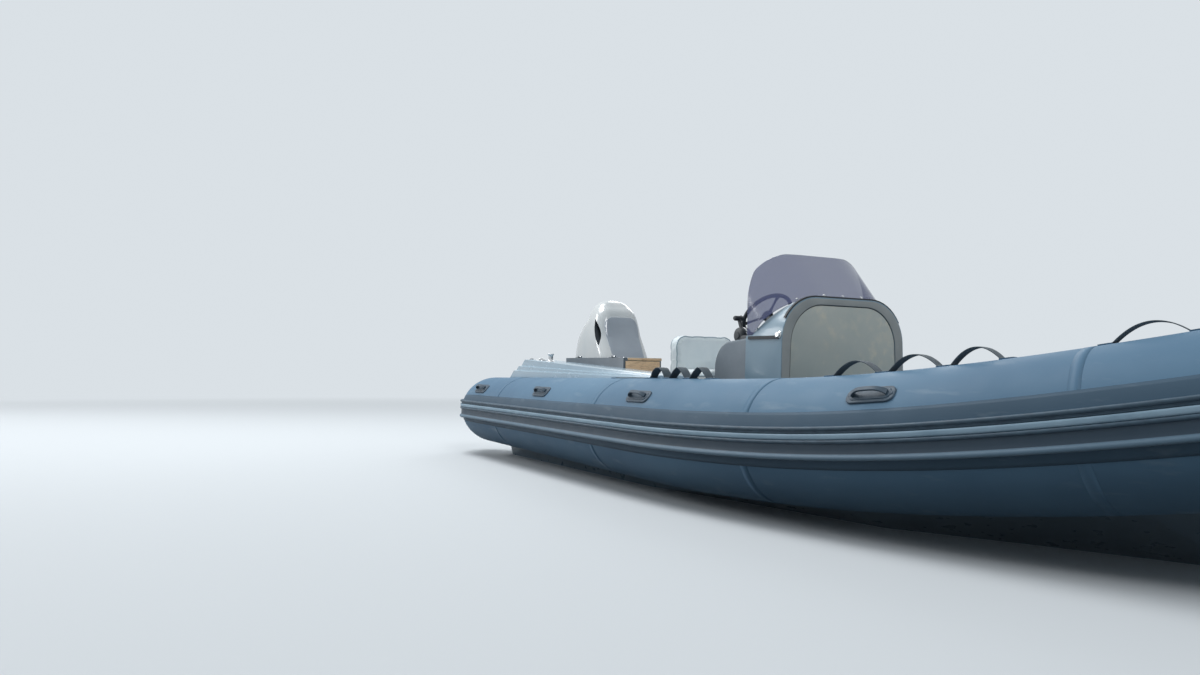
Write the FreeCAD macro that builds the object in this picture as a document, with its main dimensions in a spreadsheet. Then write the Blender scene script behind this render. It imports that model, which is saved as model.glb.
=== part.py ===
import FreeCAD, Part
import math
import os
import re
from FreeCAD import Placement, Rotation, Vector

# Rigid inflatable boat with one outboard engine, in millimetres.
# +X is the bow, -Y is starboard, +Z is up. The origin is on the centreline at the waterline amidships.
doc = FreeCAD.newDocument("RigidInflatable")
sheet = doc.addObject("Spreadsheet::Sheet", "Sizes")

# Driving sizes: name, value, what it measures.
SIZES = [
    ("bow_end", 3350, "amidships to the front of the tubes, where they meet"),
    ("stern_end", -3070, "amidships to the tips of the stern cones"),
    ("tube_offset", 1052, "centreline to the axis of a side tube"),
    ("tube_radius", 270, "tube radius from amidships to the bow"),
    ("tube_stern_radius", 238, "tube radius where the stern cone starts"),
    ("tube_height", 330, "tube axis above the waterline, aft of amidships"),
    ("cone_length", 400, "length of the rounded stern cone"),
    ("cone_nose", 90, "nose radius of the stern cone"),
    ("bow_curve_start", -200, "where the tubes start to turn inwards"),
    ("bow_fullness", 1.5, "exponent of the plan curve of the bow"),
    ("sheer_start", 95, "where the tubes start to rise"),
    ("sheer_rise", 396, "rise of the tube axis at the bow"),
    ("strake_base", 6, "thickness of the rubbing strake's flat base"),
    ("strake_rib", 15, "how far the strake's ribs stand out"),
    ("strake_top", 69, "top edge of the strake above the tube axis"),
    ("strake_bottom", -60, "lower edge of the strake"),
    ("insert_top", 41, "top edge of the pale strip"),
    ("insert_bottom", 18, "lower edge of the pale strip"),
    ("strake_wrap", 70, "angle that the strake turns past the nose of the cone"),
    ("deck_height", 140, "top of the moulded hull inside the tubes"),
    ("sole_thickness", 12, "non-slip deck panel"),
    ("transom_aft", -2580, "aft face of the transom"),
    ("transom_thickness", 50, "transom board"),
    ("transom_notch_top", 335, "top of the engine notch"),
    ("transom_notch_half", 330, "half width of the engine notch"),
    ("transom_top", 520, "top of the transom wings"),
    ("keel_depth", 330, "keel below the waterline, aft"),
    ("chine_half", 950, "half width at the chine, aft"),
    ("sole_half", 700, "half width of the deck panel"),
    ("sole_forward_half", 430, "half width of the deck panel at the bow locker"),
    ("coaming_top", 712, "top of the stern side moulding, aft"),
    ("coaming_low", 612, "top of the stern side moulding, forward"),
    ("coaming_inner", 735, "inner face of the stern side moulding"),
    ("coaming_forward", -560, "forward end of the stern side moulding"),
    ("locker_aft", -2140, "aft end of a quarter locker"),
    ("locker_forward", -1310, "forward face of a quarter locker"),
    ("locker_inner", 455, "inboard face of a quarter locker"),
    ("locker_rim", 697, "top of a quarter locker's walls"),
    ("locker_wall", 15, "wall of every locker"),
    ("lid_thickness", 20, "thickness of every locker lid"),
    ("lid_gap", 4, "gap round a lid"),
    ("hinge_rail", 26, "width of the fixed rail behind a lid"),
    ("panel_thickness", 8, "wooden panel on a locker's forward face"),
    ("console_front", -120, "forward face of the console"),
    ("console_back", -430, "aft face of the console's tall part"),
    ("console_half", 460, "half width of the console at the deck"),
    ("console_top", 1050, "top of the console"),
    ("console_wall", 25, "wall of the console"),
    ("dash_height", 844, "height where the sloping dash ends"),
    ("door_half", 400, "half width of the console door"),
    ("door_bottom", 215, "lower edge of the console door"),
    ("door_top", 1005, "top of the console door"),
    ("door_thickness", 22, "console door"),
    ("door_gap", 5, "gap round the console door"),
    ("pod_half", 405, "half width of the helm pod"),
    ("pod_front", -455, "forward face of the helm pod"),
    ("pod_back", -790, "aft face of the helm pod"),
    ("pod_height", 815, "top of the helm pod"),
    ("screen_half", 443, "half width of the windscreen"),
    ("screen_corner", 330, "radius of the windscreen's bend round each corner"),
    ("screen_thickness", 5, "windscreen sheet"),
    ("screen_top", 1310, "top edge of the windscreen"),
    ("screen_rake", 41, "how far the windscreen leans aft, degrees"),
    ("wheel_radius", 160, "steering wheel, centre to the middle of the rim"),
    ("wheel_rim", 13, "rim tube radius"),
    ("wheel_x", -800, "wheel centre, fore and aft"),
    ("wheel_z", 990, "wheel centre height"),
    ("wheel_slope", 43, "wheel axis above the horizontal, degrees"),
    ("seat_half", 255, "half width of the helm seat"),
    ("seat_front", -1070, "forward edge of the seat"),
    ("seat_back", -1560, "aft face of the backrest"),
    ("seat_base_top", 560, "top of the seat base"),
    ("seat_cushion", 90, "seat cushion thickness"),
    ("seat_top", 895, "top of the backrest"),
    ("bow_locker_aft", 1950, "aft face of the bow locker"),
    ("bow_locker_length", 370, "bow locker, fore and aft"),
    ("bow_locker_half", 280, "half width of the bow locker"),
    ("bow_locker_rim", 500, "top of the bow locker's walls"),
    ("tilt_x", -2555, "tilt tube, fore and aft"),
    ("tilt_z", 395, "tilt tube height"),
    ("tilt_tube", 16, "tilt tube radius"),
    ("pin_clearance", 0.1, "radial clearance on pins"),
    ("swivel_x", -2700, "steering axis, fore and aft"),
    ("swivel_low", 20, "lower end of the steering tube"),
    ("swivel_high", 350, "upper end of the steering tube"),
    ("swivel_pin", 16, "steering pin radius"),
    ("swivel_tube", 40, "outer radius of the steering tube"),
    ("clamp_half", 130, "centreline to a clamp bracket's outer face"),
    ("clamp_plate", 22, "clamp bracket thickness"),
    ("engine_width", 430, "width of the engine cowl"),
    ("cowl_bottom", 600, "bottom edge of the cowl"),
    ("cowl_top", 1198, "top of the cowl"),
    ("cowl_wall", 6, "cowl shell"),
    ("leg_half", 62, "half width of the engine's leg"),
    ("plate_height", -300, "anti-ventilation plate"),
    ("prop_height", -505, "propeller axis"),
    ("prop_radius", 168, "propeller blade tip"),
    ("prop_reach", 310, "steering axis to the middle of the propeller hub"),
    ("gear_radius", 52, "gearcase torpedo radius"),
    ("skeg_bottom", -700, "lower edge of the skeg"),
    ("handle_length", 210, "tube handle"),
    ("handle_width", 75, "tube handle's pad"),
    ("handle_angle", 41, "handles' place round the tube, degrees above its side"),
    ("webbing_width", 45, "lifeline webbing"),
    ("webbing_thickness", 3, "lifeline webbing"),
    ("eye_hole", 10, "hole radius of the towing eyes"),
    ("eye_plate", 14, "thickness of the towing eyes"),
]
for row, (alias, value, note) in enumerate(SIZES, start=1):
    sheet.set("A%d" % row, alias)
    sheet.set("B%d" % row, str(value))
    sheet.setAlias("B%d" % row, alias)
    sheet.set("C%d" % row, note)
doc.recompute()
ALIASES = [entry[0] for entry in SIZES]
sub_parts = []


def size(alias):
    return float(sheet.get(alias))


def bind(item, prop, rule):
    words = re.sub(r"[a-z_]+", lambda m: "Sizes." + m.group(0) if m.group(0) in ALIASES else m.group(0), rule)
    item.setExpression(prop, words)


def part(item, label):
    item.Label = label
    sub_parts.append(item)
    return item


def feature(label, shape, placement=Placement()):
    item = doc.addObject("Part::Feature", label)
    item.Shape = shape
    item.Placement = placement
    return part(item, label)


def pair(name, shape):
    feature(name + "_starboard", shape)
    feature(name + "_port", mirrored(shape))


def biggest(shape):
    return max(shape.Solids, key=lambda solid: solid.Volume)


def box(name, x_range, y_range, z_range):
    """A block between two rules along each axis."""
    item = doc.addObject("Part::Box", name)
    for prop, axis, (low, high) in (("Length", "x", x_range), ("Width", "y", y_range), ("Height", "z", z_range)):
        bind(item, prop, "(%s) - (%s)" % (high, low))
        bind(item, "Placement.Base." + axis, low)
    return item


def combine(kind, name, items):
    """A Part boolean: Cut takes two items, MultiFuse and MultiCommon take any number."""
    item = doc.addObject("Part::" + kind, name)
    if kind == "Cut":
        item.Base, item.Tool = items
    else:
        item.Shapes = items
    return item


def wire_xz(points, y=0.0):
    corners = [Vector(x, y, z) for x, z in points]
    return Part.makePolygon(corners + corners[:1])


def wire_yz(points, x=0.0):
    corners = [Vector(x, y, z) for y, z in points]
    return Part.makePolygon(corners + corners[:1])


def slab(wire, direction):
    return Part.Face(wire).extrude(direction)


def mirrored(shape):
    return shape.mirror(Vector(0, 0, 0), Vector(0, 1, 0))


def round_edges(shape, radius, chosen):
    edges = [edge for edge in shape.Edges if chosen(edge)]
    return shape.makeFillet(radius, edges) if edges else shape


# Tube path. A side tube's axis runs straight from the stern, then turns in and up through arcs.
bow_axis_x = size("bow_end") - size("tube_radius")


def plan_share(x):
    return max(0.0, (x - size("bow_curve_start")) / (bow_axis_x - size("bow_curve_start")))


def axis_height(x):
    climb = max(0.0, (x - size("sheer_start")) / (bow_axis_x - size("sheer_start")))
    return size("tube_height") + size("sheer_rise") * climb ** 2


def axis_offset(x):
    return size("tube_offset") * math.sqrt(max(0.0, 1.0 - plan_share(x) ** size("bow_fullness")))


def axis_point(x):
    return Vector(x, -axis_offset(x), axis_height(x))


def axis_tangent(x):
    step = 1.0
    if x >= bow_axis_x - step:
        return Vector(0, 1, 0)
    return (axis_point(x + step) - axis_point(x - step)).normalize()


class ArcSpan:
    """One arc of the path: its starting frame, and the centre, axis and angle it turns through."""

    def __init__(self, point, tangent, outward, end):
        chord = end - point
        self.point, self.tangent, self.outward = point, tangent, outward
        self.axis = tangent.cross(chord).normalize()
        inward = self.axis.cross(tangent).normalize()
        self.radius = chord.dot(chord) / (2.0 * chord.dot(inward))
        self.centre = point + inward * self.radius
        self.angle = 2.0 * math.degrees(tangent.getAngle(chord))
        self.turn = Rotation(self.axis, self.angle)

    def end_frame(self):
        point = self.centre + self.turn.multVec(self.point - self.centre)
        return point, self.turn.multVec(self.tangent), self.turn.multVec(self.outward)

    def sweep(self, face):
        return face.revolve(self.centre, self.axis, self.angle)


def two_arcs(start, start_tangent, end, end_tangent):
    """The point where two tangent arcs meet between two given points and tangents."""
    gap = end - start
    both = start_tangent + end_tangent
    spread = 2.0 * (1.0 - start_tangent.dot(end_tangent))
    reach = (math.sqrt(gap.dot(both) ** 2 + spread * gap.dot(gap)) - gap.dot(both)) / spread
    return (start + end + (start_tangent - end_tangent) * reach) * 0.5


PATH_SHARES = [0.0, 0.45, 0.8, 1.0]
path_x = [size("bow_curve_start") + s * (bow_axis_x - size("bow_curve_start")) for s in PATH_SHARES]
spans = []
point, tangent, outward = axis_point(path_x[0]), Vector(1, 0, 0), Vector(0, -1, 0)
for x in path_x[1:]:
    goal, goal_tangent = axis_point(x), axis_tangent(x)
    for stop in (two_arcs(point, tangent, goal, goal_tangent), goal):
        spans.append(ArcSpan(point, tangent, outward, stop))
        point, tangent, outward = spans[-1].end_frame()


def frame_at(length):
    """Point, tangent and outward direction at a length along the path from the start of the bow curve."""
    if length <= 0:
        return axis_point(path_x[0]) + Vector(length, 0, 0), Vector(1, 0, 0), Vector(0, -1, 0)
    for span in spans:
        arc = span.radius * math.radians(span.angle)
        if length <= arc:
            turn = Rotation(span.axis, span.angle * length / arc)
            place = span.centre + turn.multVec(span.point - span.centre)
            return place, turn.multVec(span.tangent), turn.multVec(span.outward)
        length -= arc
    return spans[-1].end_frame()


# Side tube: a tapered cone with a rounded end at the stern, then a bend of round section to the bow.
radius, stern_radius = size("tube_radius"), size("tube_stern_radius")
stern_x, cone_x = size("stern_end"), size("stern_end") + size("cone_length")
nose = size("cone_nose")
nose_x = stern_x + nose
cone_run = cone_x - nose_x
cone_arc = (cone_run ** 2 + stern_radius ** 2 - nose ** 2) / (2.0 * (stern_radius - nose))
cone_centre = Vector(cone_x, 0, stern_radius - cone_arc)
cone_turn = math.atan2(cone_run, cone_arc - stern_radius)
cone_side = -size("tube_offset")
tube_z = size("tube_height")


def on_arc(centre, arc_radius, angle):
    """A point in the XZ plane, the angle counted aft from straight up."""
    return centre + Vector(-math.sin(angle), 0, math.cos(angle)) * arc_radius


nose_centre = Vector(nose_x, 0, 0)
join = on_arc(cone_centre, cone_arc, cone_turn)
half_way = on_arc(cone_centre, cone_arc, cone_turn / 2)
nose_mid = on_arc(nose_centre, nose, (cone_turn + math.pi / 2) / 2)
nose_end = Vector(stern_x, 0, 0)
start_x = path_x[0]
outline = Part.Wire([
    Part.LineSegment(Vector(start_x, 0, 0), Vector(start_x, 0, radius)).toShape(),
    Part.LineSegment(Vector(start_x, 0, radius), Vector(cone_x, 0, stern_radius)).toShape(),
    Part.Arc(Vector(cone_x, 0, stern_radius), half_way, join).toShape(),
    Part.Arc(join, nose_mid, nose_end).toShape(),
    Part.LineSegment(nose_end, Vector(start_x, 0, 0)).toShape(),
])
stern_tube = Part.Face(outline).revolve(Vector(0, 0, 0), Vector(1, 0, 0), 360)
stern_tube.translate(Vector(0, cone_side, tube_z))


def round_face(span):
    return Part.Face(Part.Wire(Part.makeCircle(radius, span.point, span.tangent)))


bow_tube = [span.sweep(round_face(span)) for span in spans]
tube = stern_tube.multiFuse(bow_tube).removeSplitter()
pair("tube", tube)
both_tubes = tube.fuse(mirrored(tube))

# Rubbing strake: a rubber section with three ribs, and a pale strip set between the upper two.
top, bottom = size("strake_top"), size("strake_bottom")
insert_top, insert_bottom = size("insert_top"), size("insert_bottom")
base, rib = size("strake_base"), size("strake_rib")
STRAKE_STEPS = [(top, rib), (top - 16, rib), (top - 18, base), (insert_top, base), (insert_bottom, base),
                (insert_bottom, rib), (insert_bottom - 14, rib), (insert_bottom - 16, base),
                (bottom + 22, base), (bottom + 20, rib + 3), (bottom, rib + 3)]
INSERT_STEPS = [(insert_top, rib - 3), (insert_bottom, rib - 3)]


def section_face(place, outward, up, steps, inner):
    """A section from a list of heights and stand-outs. Its inner edge lies at the given depth or on the tube."""
    def at(out, height):
        return place + outward * out + up * height
    high, low = steps[0][0], steps[-1][0]
    edges = []
    if inner is None:
        first = math.sqrt(radius ** 2 - low ** 2)
        last = math.sqrt(radius ** 2 - high ** 2)
        edges.append(Part.Arc(at(first, low), at(radius, 0) if low * high < 0 else
                              at(math.sqrt(radius ** 2 - ((low + high) / 2) ** 2), (low + high) / 2),
                              at(last, high)).toShape())
    else:
        first = last = inner
        edges.append(Part.LineSegment(at(first, low), at(last, high)).toShape())
    corners = [at(last, high)] + [at(radius + out, height) for height, out in steps] + [at(first, low)]
    edges += [Part.LineSegment(a, b).toShape() for a, b in zip(corners, corners[1:])]
    return Part.Face(Part.Wire(edges))


def strake_shape(steps, back):
    """The section carried forward round the bow, and aft round the end of the stern cone."""
    pieces = []
    for span in spans:
        up = span.tangent.cross(span.outward) * -1.0
        face = section_face(span.point, span.outward, up, steps, None)
        pieces.append(span.sweep(face))
    side = Vector(0, -1, 0)
    deep = radius - 60
    start = Vector(start_x, cone_side, tube_z)
    run = Vector(cone_x - start_x, radius - stern_radius, 0)
    face = section_face(start, side, Vector(0, 0, 1), steps, deep)
    aft = [face.extrude(run)]
    face.translate(run)
    centre = Vector(cone_x, cone_side - stern_radius + cone_arc, tube_z)
    aft.append(face.revolve(centre, Vector(0, 0, -1), math.degrees(cone_turn)))
    face.rotate(centre, Vector(0, 0, -1), math.degrees(cone_turn))
    nose_point = Vector(nose_x, cone_side, tube_z)
    past = 90 - math.degrees(cone_turn) + size("strake_wrap")
    aft.append(face.revolve(nose_point, Vector(0, 0, -1), past))
    pieces += [piece.cut(stern_tube) for piece in aft]
    if back is not None:
        pieces = [piece.cut(back) for piece in pieces]
    return pieces[0].multiFuse(pieces[1:]).removeSplitter()


strake = strake_shape(STRAKE_STEPS, None)
pair("strake", strake)
pair("strake_insert", strake_shape(INSERT_STEPS, strake))


# Moulded hull: a deep V lofted from the transom to the stem, its sides rising to the tubes they carry.
# Its keel and chine run level aft and then sweep up towards the bow.
transom_aft = size("transom_aft")
transom_inside = transom_aft + size("transom_thickness")
deck = size("deck_height")
STEM_X = size("bow_end") - 390
KEEL_RISE, CHINE_RISE = 800, 520
# Columns: share of the way from the transom to the stem, chine half width and deck half width as shares.
HULL_STATIONS = [(0.0, 1.0, 0.913), (0.357, 1.0, 0.884), (0.628, 0.953, 0.798), (0.8195, 0.745, 0.409),
                 (0.926, 0.463, 0.238), (1.0, 0.158, 0.057)]


def station_x(share):
    return transom_aft + share * (STEM_X - transom_aft)


def keel_height(share):
    return KEEL_RISE * max(0.0, (share - 0.5) / 0.5) ** 3 - size("keel_depth")


def hull_section(share, chine_share, deck_share):
    x, keel = station_x(share), keel_height(share)
    chine = CHINE_RISE * max(0.0, (share - 0.3) / 0.7) ** 2.5
    chine_half, deck_half = chine_share * size("chine_half"), deck_share * size("tube_offset")
    seat_half, seat = axis_offset(x), axis_height(x)
    low = max(chine + 15, seat - radius + 40)
    deck_here = max(deck, keel + (chine - keel) * deck_half / chine_half + 20)
    half = [(chine_half, chine), (min(chine_half + 25, seat_half), low), (seat_half - 60, seat - 60),
            (min(deck_half, seat_half - 70), deck_here)]
    starboard = [Vector(x, -y, z) for y, z in half]
    port = [Vector(x, y, z) for y, z in reversed(half)]
    return Part.makePolygon([Vector(x, 0, keel)] + starboard + port + [Vector(x, 0, keel)])


hull = Part.makeLoft([hull_section(*station) for station in HULL_STATIONS], True, True)
hull = biggest(hull.cut(both_tubes))
feature("hull", hull)

# Deck panel laid on the moulding, kept clear of the tubes.
sole_top = deck + size("sole_thickness")
SEAM = 10
SOLE_HALF = [(transom_inside + SEAM, size("sole_half")), (900, size("sole_half")),
             (1500, (size("sole_half") + size("sole_forward_half")) / 2),
             (size("bow_locker_aft") - SEAM, size("sole_forward_half"))]
sole_points = [Vector(x, -y, deck) for x, y in SOLE_HALF] + [Vector(x, y, deck) for x, y in reversed(SOLE_HALF)]
sole = Part.Face(Part.makePolygon(sole_points + sole_points[:1])).extrude(Vector(0, 0, size("sole_thickness")))
feature("deck_sole", sole)

# Transom: a board across the stern with the engine's notch, its wings cut to the tubes.
notch, notch_half = size("transom_notch_top"), size("transom_notch_half")
wing_half = size("tube_offset") - 72
TRANSOM_HALF = [(0, deck), (wing_half, deck), (wing_half, size("transom_top")),
                (notch_half + 110, size("transom_top")), (notch_half, notch), (0, notch)]
transom_points = TRANSOM_HALF + [(-y, z) for y, z in reversed(TRANSOM_HALF[1:-1])]
transom = slab(wire_yz(transom_points, transom_aft), Vector(size("transom_thickness"), 0, 0))
feature("transom", biggest(transom.cut(both_tubes)))

# Stern side mouldings: stepped outside and flat on top, lofted down to a low forward end, seated on the tubes.
coaming_top, coaming_low = size("coaming_top"), size("coaming_low")
coaming_inner, coaming_forward = size("coaming_inner"), size("coaming_forward")
coaming_out = size("tube_offset") - 42
COAMING_STEPS = [(0, 0.22), (20, 0.29), (20, 0.52), (40, 0.58), (40, 1.0)]


def coaming_section(x, top):
    """Columns of the steps: how far in, and the share of the rise from the tube's crown to the top."""
    crown = tube_z + radius - 4
    outside = [(coaming_out - inward, crown + share * (top - crown)) for inward, share in COAMING_STEPS]
    points = [(coaming_out, tube_z)] + outside + [(coaming_inner, top), (coaming_inner, deck),
                                                  (coaming_out - 50, deck)]
    return wire_yz([(-y, z) for y, z in points], x)


coaming = Part.makeLoft([coaming_section(transom_inside, coaming_top), coaming_section(coaming_forward, coaming_low)],
                        True, True)
COAMING_SIDE = [(transom_inside, deck), (transom_inside, coaming_top - 152), (transom_inside + 203, coaming_top),
                (coaming_forward, coaming_top), (coaming_forward, deck)]
coaming = coaming.common(slab(wire_xz(COAMING_SIDE, -coaming_out - 10), Vector(0, 500, 0)))
pair("coaming", biggest(coaming.cut(tube)))


def coaming_height(x):
    share = (x - transom_inside) / (coaming_forward - transom_inside)
    return coaming_top + (coaming_low - coaming_top) * share


# Hinges: a pin on the fixed side turns in a knuckle on the moving one.
HINGE_RISE, KNUCKLE, HINGE_PIN, LEAF, LEAF_LENGTH = 8, 7, 4, 3, 26
clearance = size("pin_clearance")


def hinge(seam, away, out):
    """The fixed half, the moving half and its bore. The seam point lies on the surface between the two
    pieces, away points to the fixed one, and out points off the surface."""
    fixed = Part.makeCylinder(KNUCKLE, 15, Vector(HINGE_RISE, 0, -32)).multiFuse([
        Part.makeBox(LEAF, LEAF_LENGTH, 15, Vector(0, 0, -32)),
        Part.makeCylinder(HINGE_PIN, 47, Vector(HINGE_RISE, 0, -32))])
    moving = Part.makeCylinder(KNUCKLE, 30, Vector(HINGE_RISE, 0, -15)).multiFuse([
        Part.makeBox(LEAF + 1, 25, 30, Vector(-1, -48, -15)),
        Part.makeBox(LEAF - 1, 48, 30, Vector(1, -48, -15))])
    bore = Part.makeCylinder(HINGE_PIN + clearance, 40, Vector(HINGE_RISE, 0, -20))
    for shape in (fixed, moving, bore):
        shape.Placement = Placement(seam, Rotation(out, away, out.cross(away), "XYZ"))
    return fixed, moving, bore


def tool(name, shape):
    """A shape for use in a boolean with the boxes."""
    item = doc.addObject("Part::Feature", name)
    item.Shape = shape
    return item


def hinged(name, body, lid, seams, away, out):
    """Gives the fixed body and its lid their halves of each hinge."""
    fixed, moving, bores = zip(*[hinge(seam, away, out) for seam in seams])
    body_with = combine("MultiFuse", name, [body, tool(name + "_leaves", Part.makeCompound(fixed))])
    with_leaves = combine("MultiFuse", name + "_lid_leaves", [lid, tool(name + "_straps", Part.makeCompound(moving))])
    return body_with, combine("Cut", name + "_lid", (with_leaves, tool(name + "_bores", Part.makeCompound(bores))))


# Quarter lockers: open-topped boxes against the side mouldings, with a fixed rail behind each lid.
lid_seam = coaming_inner - size("hinge_rail") - size("lid_gap") / 2
locker_top = size("locker_rim") + size("lid_thickness")
LOCKER_HINGES = [size("locker_aft") + 170, size("locker_forward") - 170]
for side_name, sign in (("starboard", -1), ("port", 1)):
    def across(low, high):
        return (low, high) if sign > 0 else ("-(%s)" % high, "-(%s)" % low)
    outer = box("locker_outer_" + side_name, ("locker_aft", "locker_forward"),
                across("locker_inner", "coaming_inner"), ("deck_height + sole_thickness", "locker_rim"))
    hollow = box("locker_hollow_" + side_name, ("locker_aft + locker_wall", "locker_forward - locker_wall"),
                 across("locker_inner + locker_wall", "coaming_inner - hinge_rail"),
                 ("deck_height + sole_thickness + locker_wall", "locker_rim + 1"))
    rail = box("locker_rail_" + side_name, ("locker_aft", "locker_forward"),
               across("coaming_inner - hinge_rail", "coaming_inner"), ("locker_rim - 1", "locker_rim + lid_thickness"))
    walls = combine("Cut", "locker_walls_" + side_name, (outer, hollow))
    walls = combine("MultiFuse", "locker_railed_" + side_name, [walls, rail])
    lid = box("lid_block_" + side_name, ("locker_aft", "locker_forward"),
              across("locker_inner", "coaming_inner - hinge_rail - lid_gap"),
              ("locker_rim + 0.3", "locker_rim + lid_thickness"))
    seams = [Vector(x, sign * lid_seam, locker_top) for x in LOCKER_HINGES]
    walls, lid = hinged("locker_body_" + side_name, walls, lid, seams, Vector(0, sign, 0), Vector(0, 0, 1))
    part(walls, "locker_" + side_name)
    part(lid, "locker_lid_" + side_name)
    panel = box("panel_block_" + side_name, ("locker_forward", "locker_forward + panel_thickness"),
                across("locker_inner + 14", "coaming_inner - 14"),
                ("deck_height + sole_thickness + 20", "locker_rim - 12"))
    part(panel, "locker_panel_" + side_name)

# Console: an arched front carried aft under a sloping dash, hollow, with a doorway in its front.
console_front, console_back = size("console_front"), size("console_back")
console_half, console_top = size("console_half"), size("console_top")
dash, wall = size("dash_height"), size("console_wall")
dash_x = console_back + 55


def arch(foot, shoulder, top, x, bulge=0.2):
    """A closed outline in a YZ plane from (half width, height) pairs: a flat foot, leaning sides, round
    shoulders that bulge by a share of their chord, and a flat top."""
    middle_y, middle_z = (shoulder[0] + top[0]) / 2, (shoulder[1] + top[1]) / 2
    swell = (middle_y + (top[1] - shoulder[1]) * bulge, middle_z + (shoulder[0] - top[0]) * bulge)

    def at(pair_used, side):
        return Vector(x, side * pair_used[0], pair_used[1])
    return Part.Wire([
        Part.LineSegment(at(foot, -1), at(foot, 1)).toShape(),
        Part.LineSegment(at(foot, 1), at(shoulder, 1)).toShape(),
        Part.Arc(at(shoulder, 1), at(swell, 1), at(top, 1)).toShape(),
        Part.LineSegment(at(top, 1), at(top, -1)).toShape(),
        Part.Arc(at(top, -1), at(swell, -1), at(shoulder, -1)).toShape(),
        Part.LineSegment(at(shoulder, -1), at(foot, -1)).toShape(),
    ])


def console_solid(inset):
    depth = console_front - console_back - 2 * inset
    front = arch((console_half - inset, sole_top + inset / 2), (console_half - 16 - inset, console_top - 240),
                 (205, console_top - inset), console_back + inset)
    drop = inset * 1.3
    profile = [(console_front + 1, sole_top - 1), (console_front + 1, console_top + 1),
               (console_front - 15, console_top + 1 - drop), (dash_x, dash - drop),
               (console_back - 1, dash - 6 - drop), (console_back - 1, sole_top - 1)]
    return slab(front, Vector(depth, 0, 0)).common(slab(wire_xz(profile, -console_half - 50),
                                                        Vector(0, 2 * console_half + 100, 0)))


door_half, door_bottom, door_top = size("door_half"), size("door_bottom"), size("door_top")


def door_outline(grow, x):
    return arch((door_half + grow, door_bottom - grow), (door_half - 22 + grow, door_top - 215),
                (165 + grow * 0.4, door_top + grow), x)


doorway = slab(door_outline(size("door_gap"), console_front - wall - 2), Vector(wall + 4, 0, 0))
console = console_solid(0).cut(console_solid(wall)).cut(doorway)
door = slab(door_outline(0, console_front - size("door_thickness") - 1), Vector(size("door_thickness"), 0, 0))
door_seam = door_half + size("door_gap") / 2 + 0.5
for height in (door_bottom + 115, door_top - 365):
    fixed, moving, bore = hinge(Vector(console_front, door_seam, height), Vector(0, 1, 0), Vector(1, 0, 0))
    console = console.fuse(fixed)
    door = door.fuse(moving).cut(bore)
feature("console", console)
feature("console_door", door)

# Helm pod: the low part of the console behind the dash, rounded down at its aft end.
pod_front, pod_back, pod_height, pod_half = size("pod_front"), size("pod_back"), size("pod_height"), size("pod_half")
pod_bend = (Vector(pod_back + 145, 0, pod_height), Vector(pod_back + 38, 0, pod_height - 57),
            Vector(pod_back, 0, pod_height - 165))
pod = Part.Wire([
    Part.LineSegment(Vector(pod_front, 0, sole_top), Vector(pod_front, 0, pod_height + 17)).toShape(),
    Part.LineSegment(Vector(pod_front, 0, pod_height + 17), pod_bend[0]).toShape(),
    Part.Arc(*pod_bend).toShape(),
    Part.LineSegment(pod_bend[2], Vector(pod_back, 0, sole_top)).toShape(),
    Part.LineSegment(Vector(pod_back, 0, sole_top), Vector(pod_front, 0, sole_top)).toShape(),
])
pod.translate(Vector(0, -pod_half, 0))
neck_top = pod_height - 15
neck = wire_xz([(pod_front, sole_top), (pod_front, neck_top), (console_back, neck_top), (console_back, sole_top)],
               30 - pod_half)
pod = slab(pod, Vector(0, 2 * pod_half, 0)).fuse(slab(neck, Vector(0, 2 * pod_half - 60, 0)))
feature("helm_pod", pod)

# Binnacle on the pod, its aft face square to the wheel's axis, with the fixed column and spindle.
slope = math.radians(size("wheel_slope"))
wheel_axis = Vector(-math.cos(slope), 0, math.sin(slope))
wheel_centre = Vector(size("wheel_x"), 0, size("wheel_z"))
COLUMN, SPINDLE = 165, 10
face_centre = wheel_centre - wheel_axis * COLUMN
face_up = Vector(math.sin(slope), 0, math.cos(slope))
upper, lower = face_centre + face_up * 105, face_centre - face_up * 115
binnacle = slab(wire_xz([(lower.x, lower.z), (upper.x, upper.z), (upper.x + 150, upper.z - 10),
                         (console_back - 10, dash + 1), (console_back - 10, dash - 140), (lower.x, dash - 200)], -160),
                Vector(0, 320, 0))
binnacle = biggest(binnacle.cut(pod).cut(console_solid(0)))
column = Part.makeCylinder(24, COLUMN - 26, face_centre, wheel_axis)
spindle = Part.makeCylinder(SPINDLE, COLUMN - 3, face_centre, wheel_axis)
feature("binnacle", binnacle.multiFuse([column, spindle]).removeSplitter())

# Steering wheel: a round rim, three spokes and a hub on the spindle.
rim = Part.makeTorus(size("wheel_radius"), size("wheel_rim"), wheel_centre, wheel_axis)
hub = Part.makeCylinder(34, 34, wheel_centre - wheel_axis * 22, wheel_axis)
spokes = []
for index in range(3):
    spoke = Part.makeBox(size("wheel_radius") - 5, 26, 6, Vector(0, -13, -3))
    spoke.rotate(Vector(0, 0, 0), Vector(0, 0, 1), 30 + 120 * index)
    spokes.append(spoke)
spokes = spokes[0].multiFuse(spokes[1:])
spokes.Placement = Placement(wheel_centre, Rotation(Vector(0, 1, 0), face_up.cross(wheel_axis), wheel_axis, "ZXY"))
socket = Part.makeCylinder(SPINDLE + clearance, 21, wheel_centre - wheel_axis * 23, wheel_axis)
feature("steering_wheel", rim.multiFuse([hub, spokes]).cut(socket))

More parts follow.
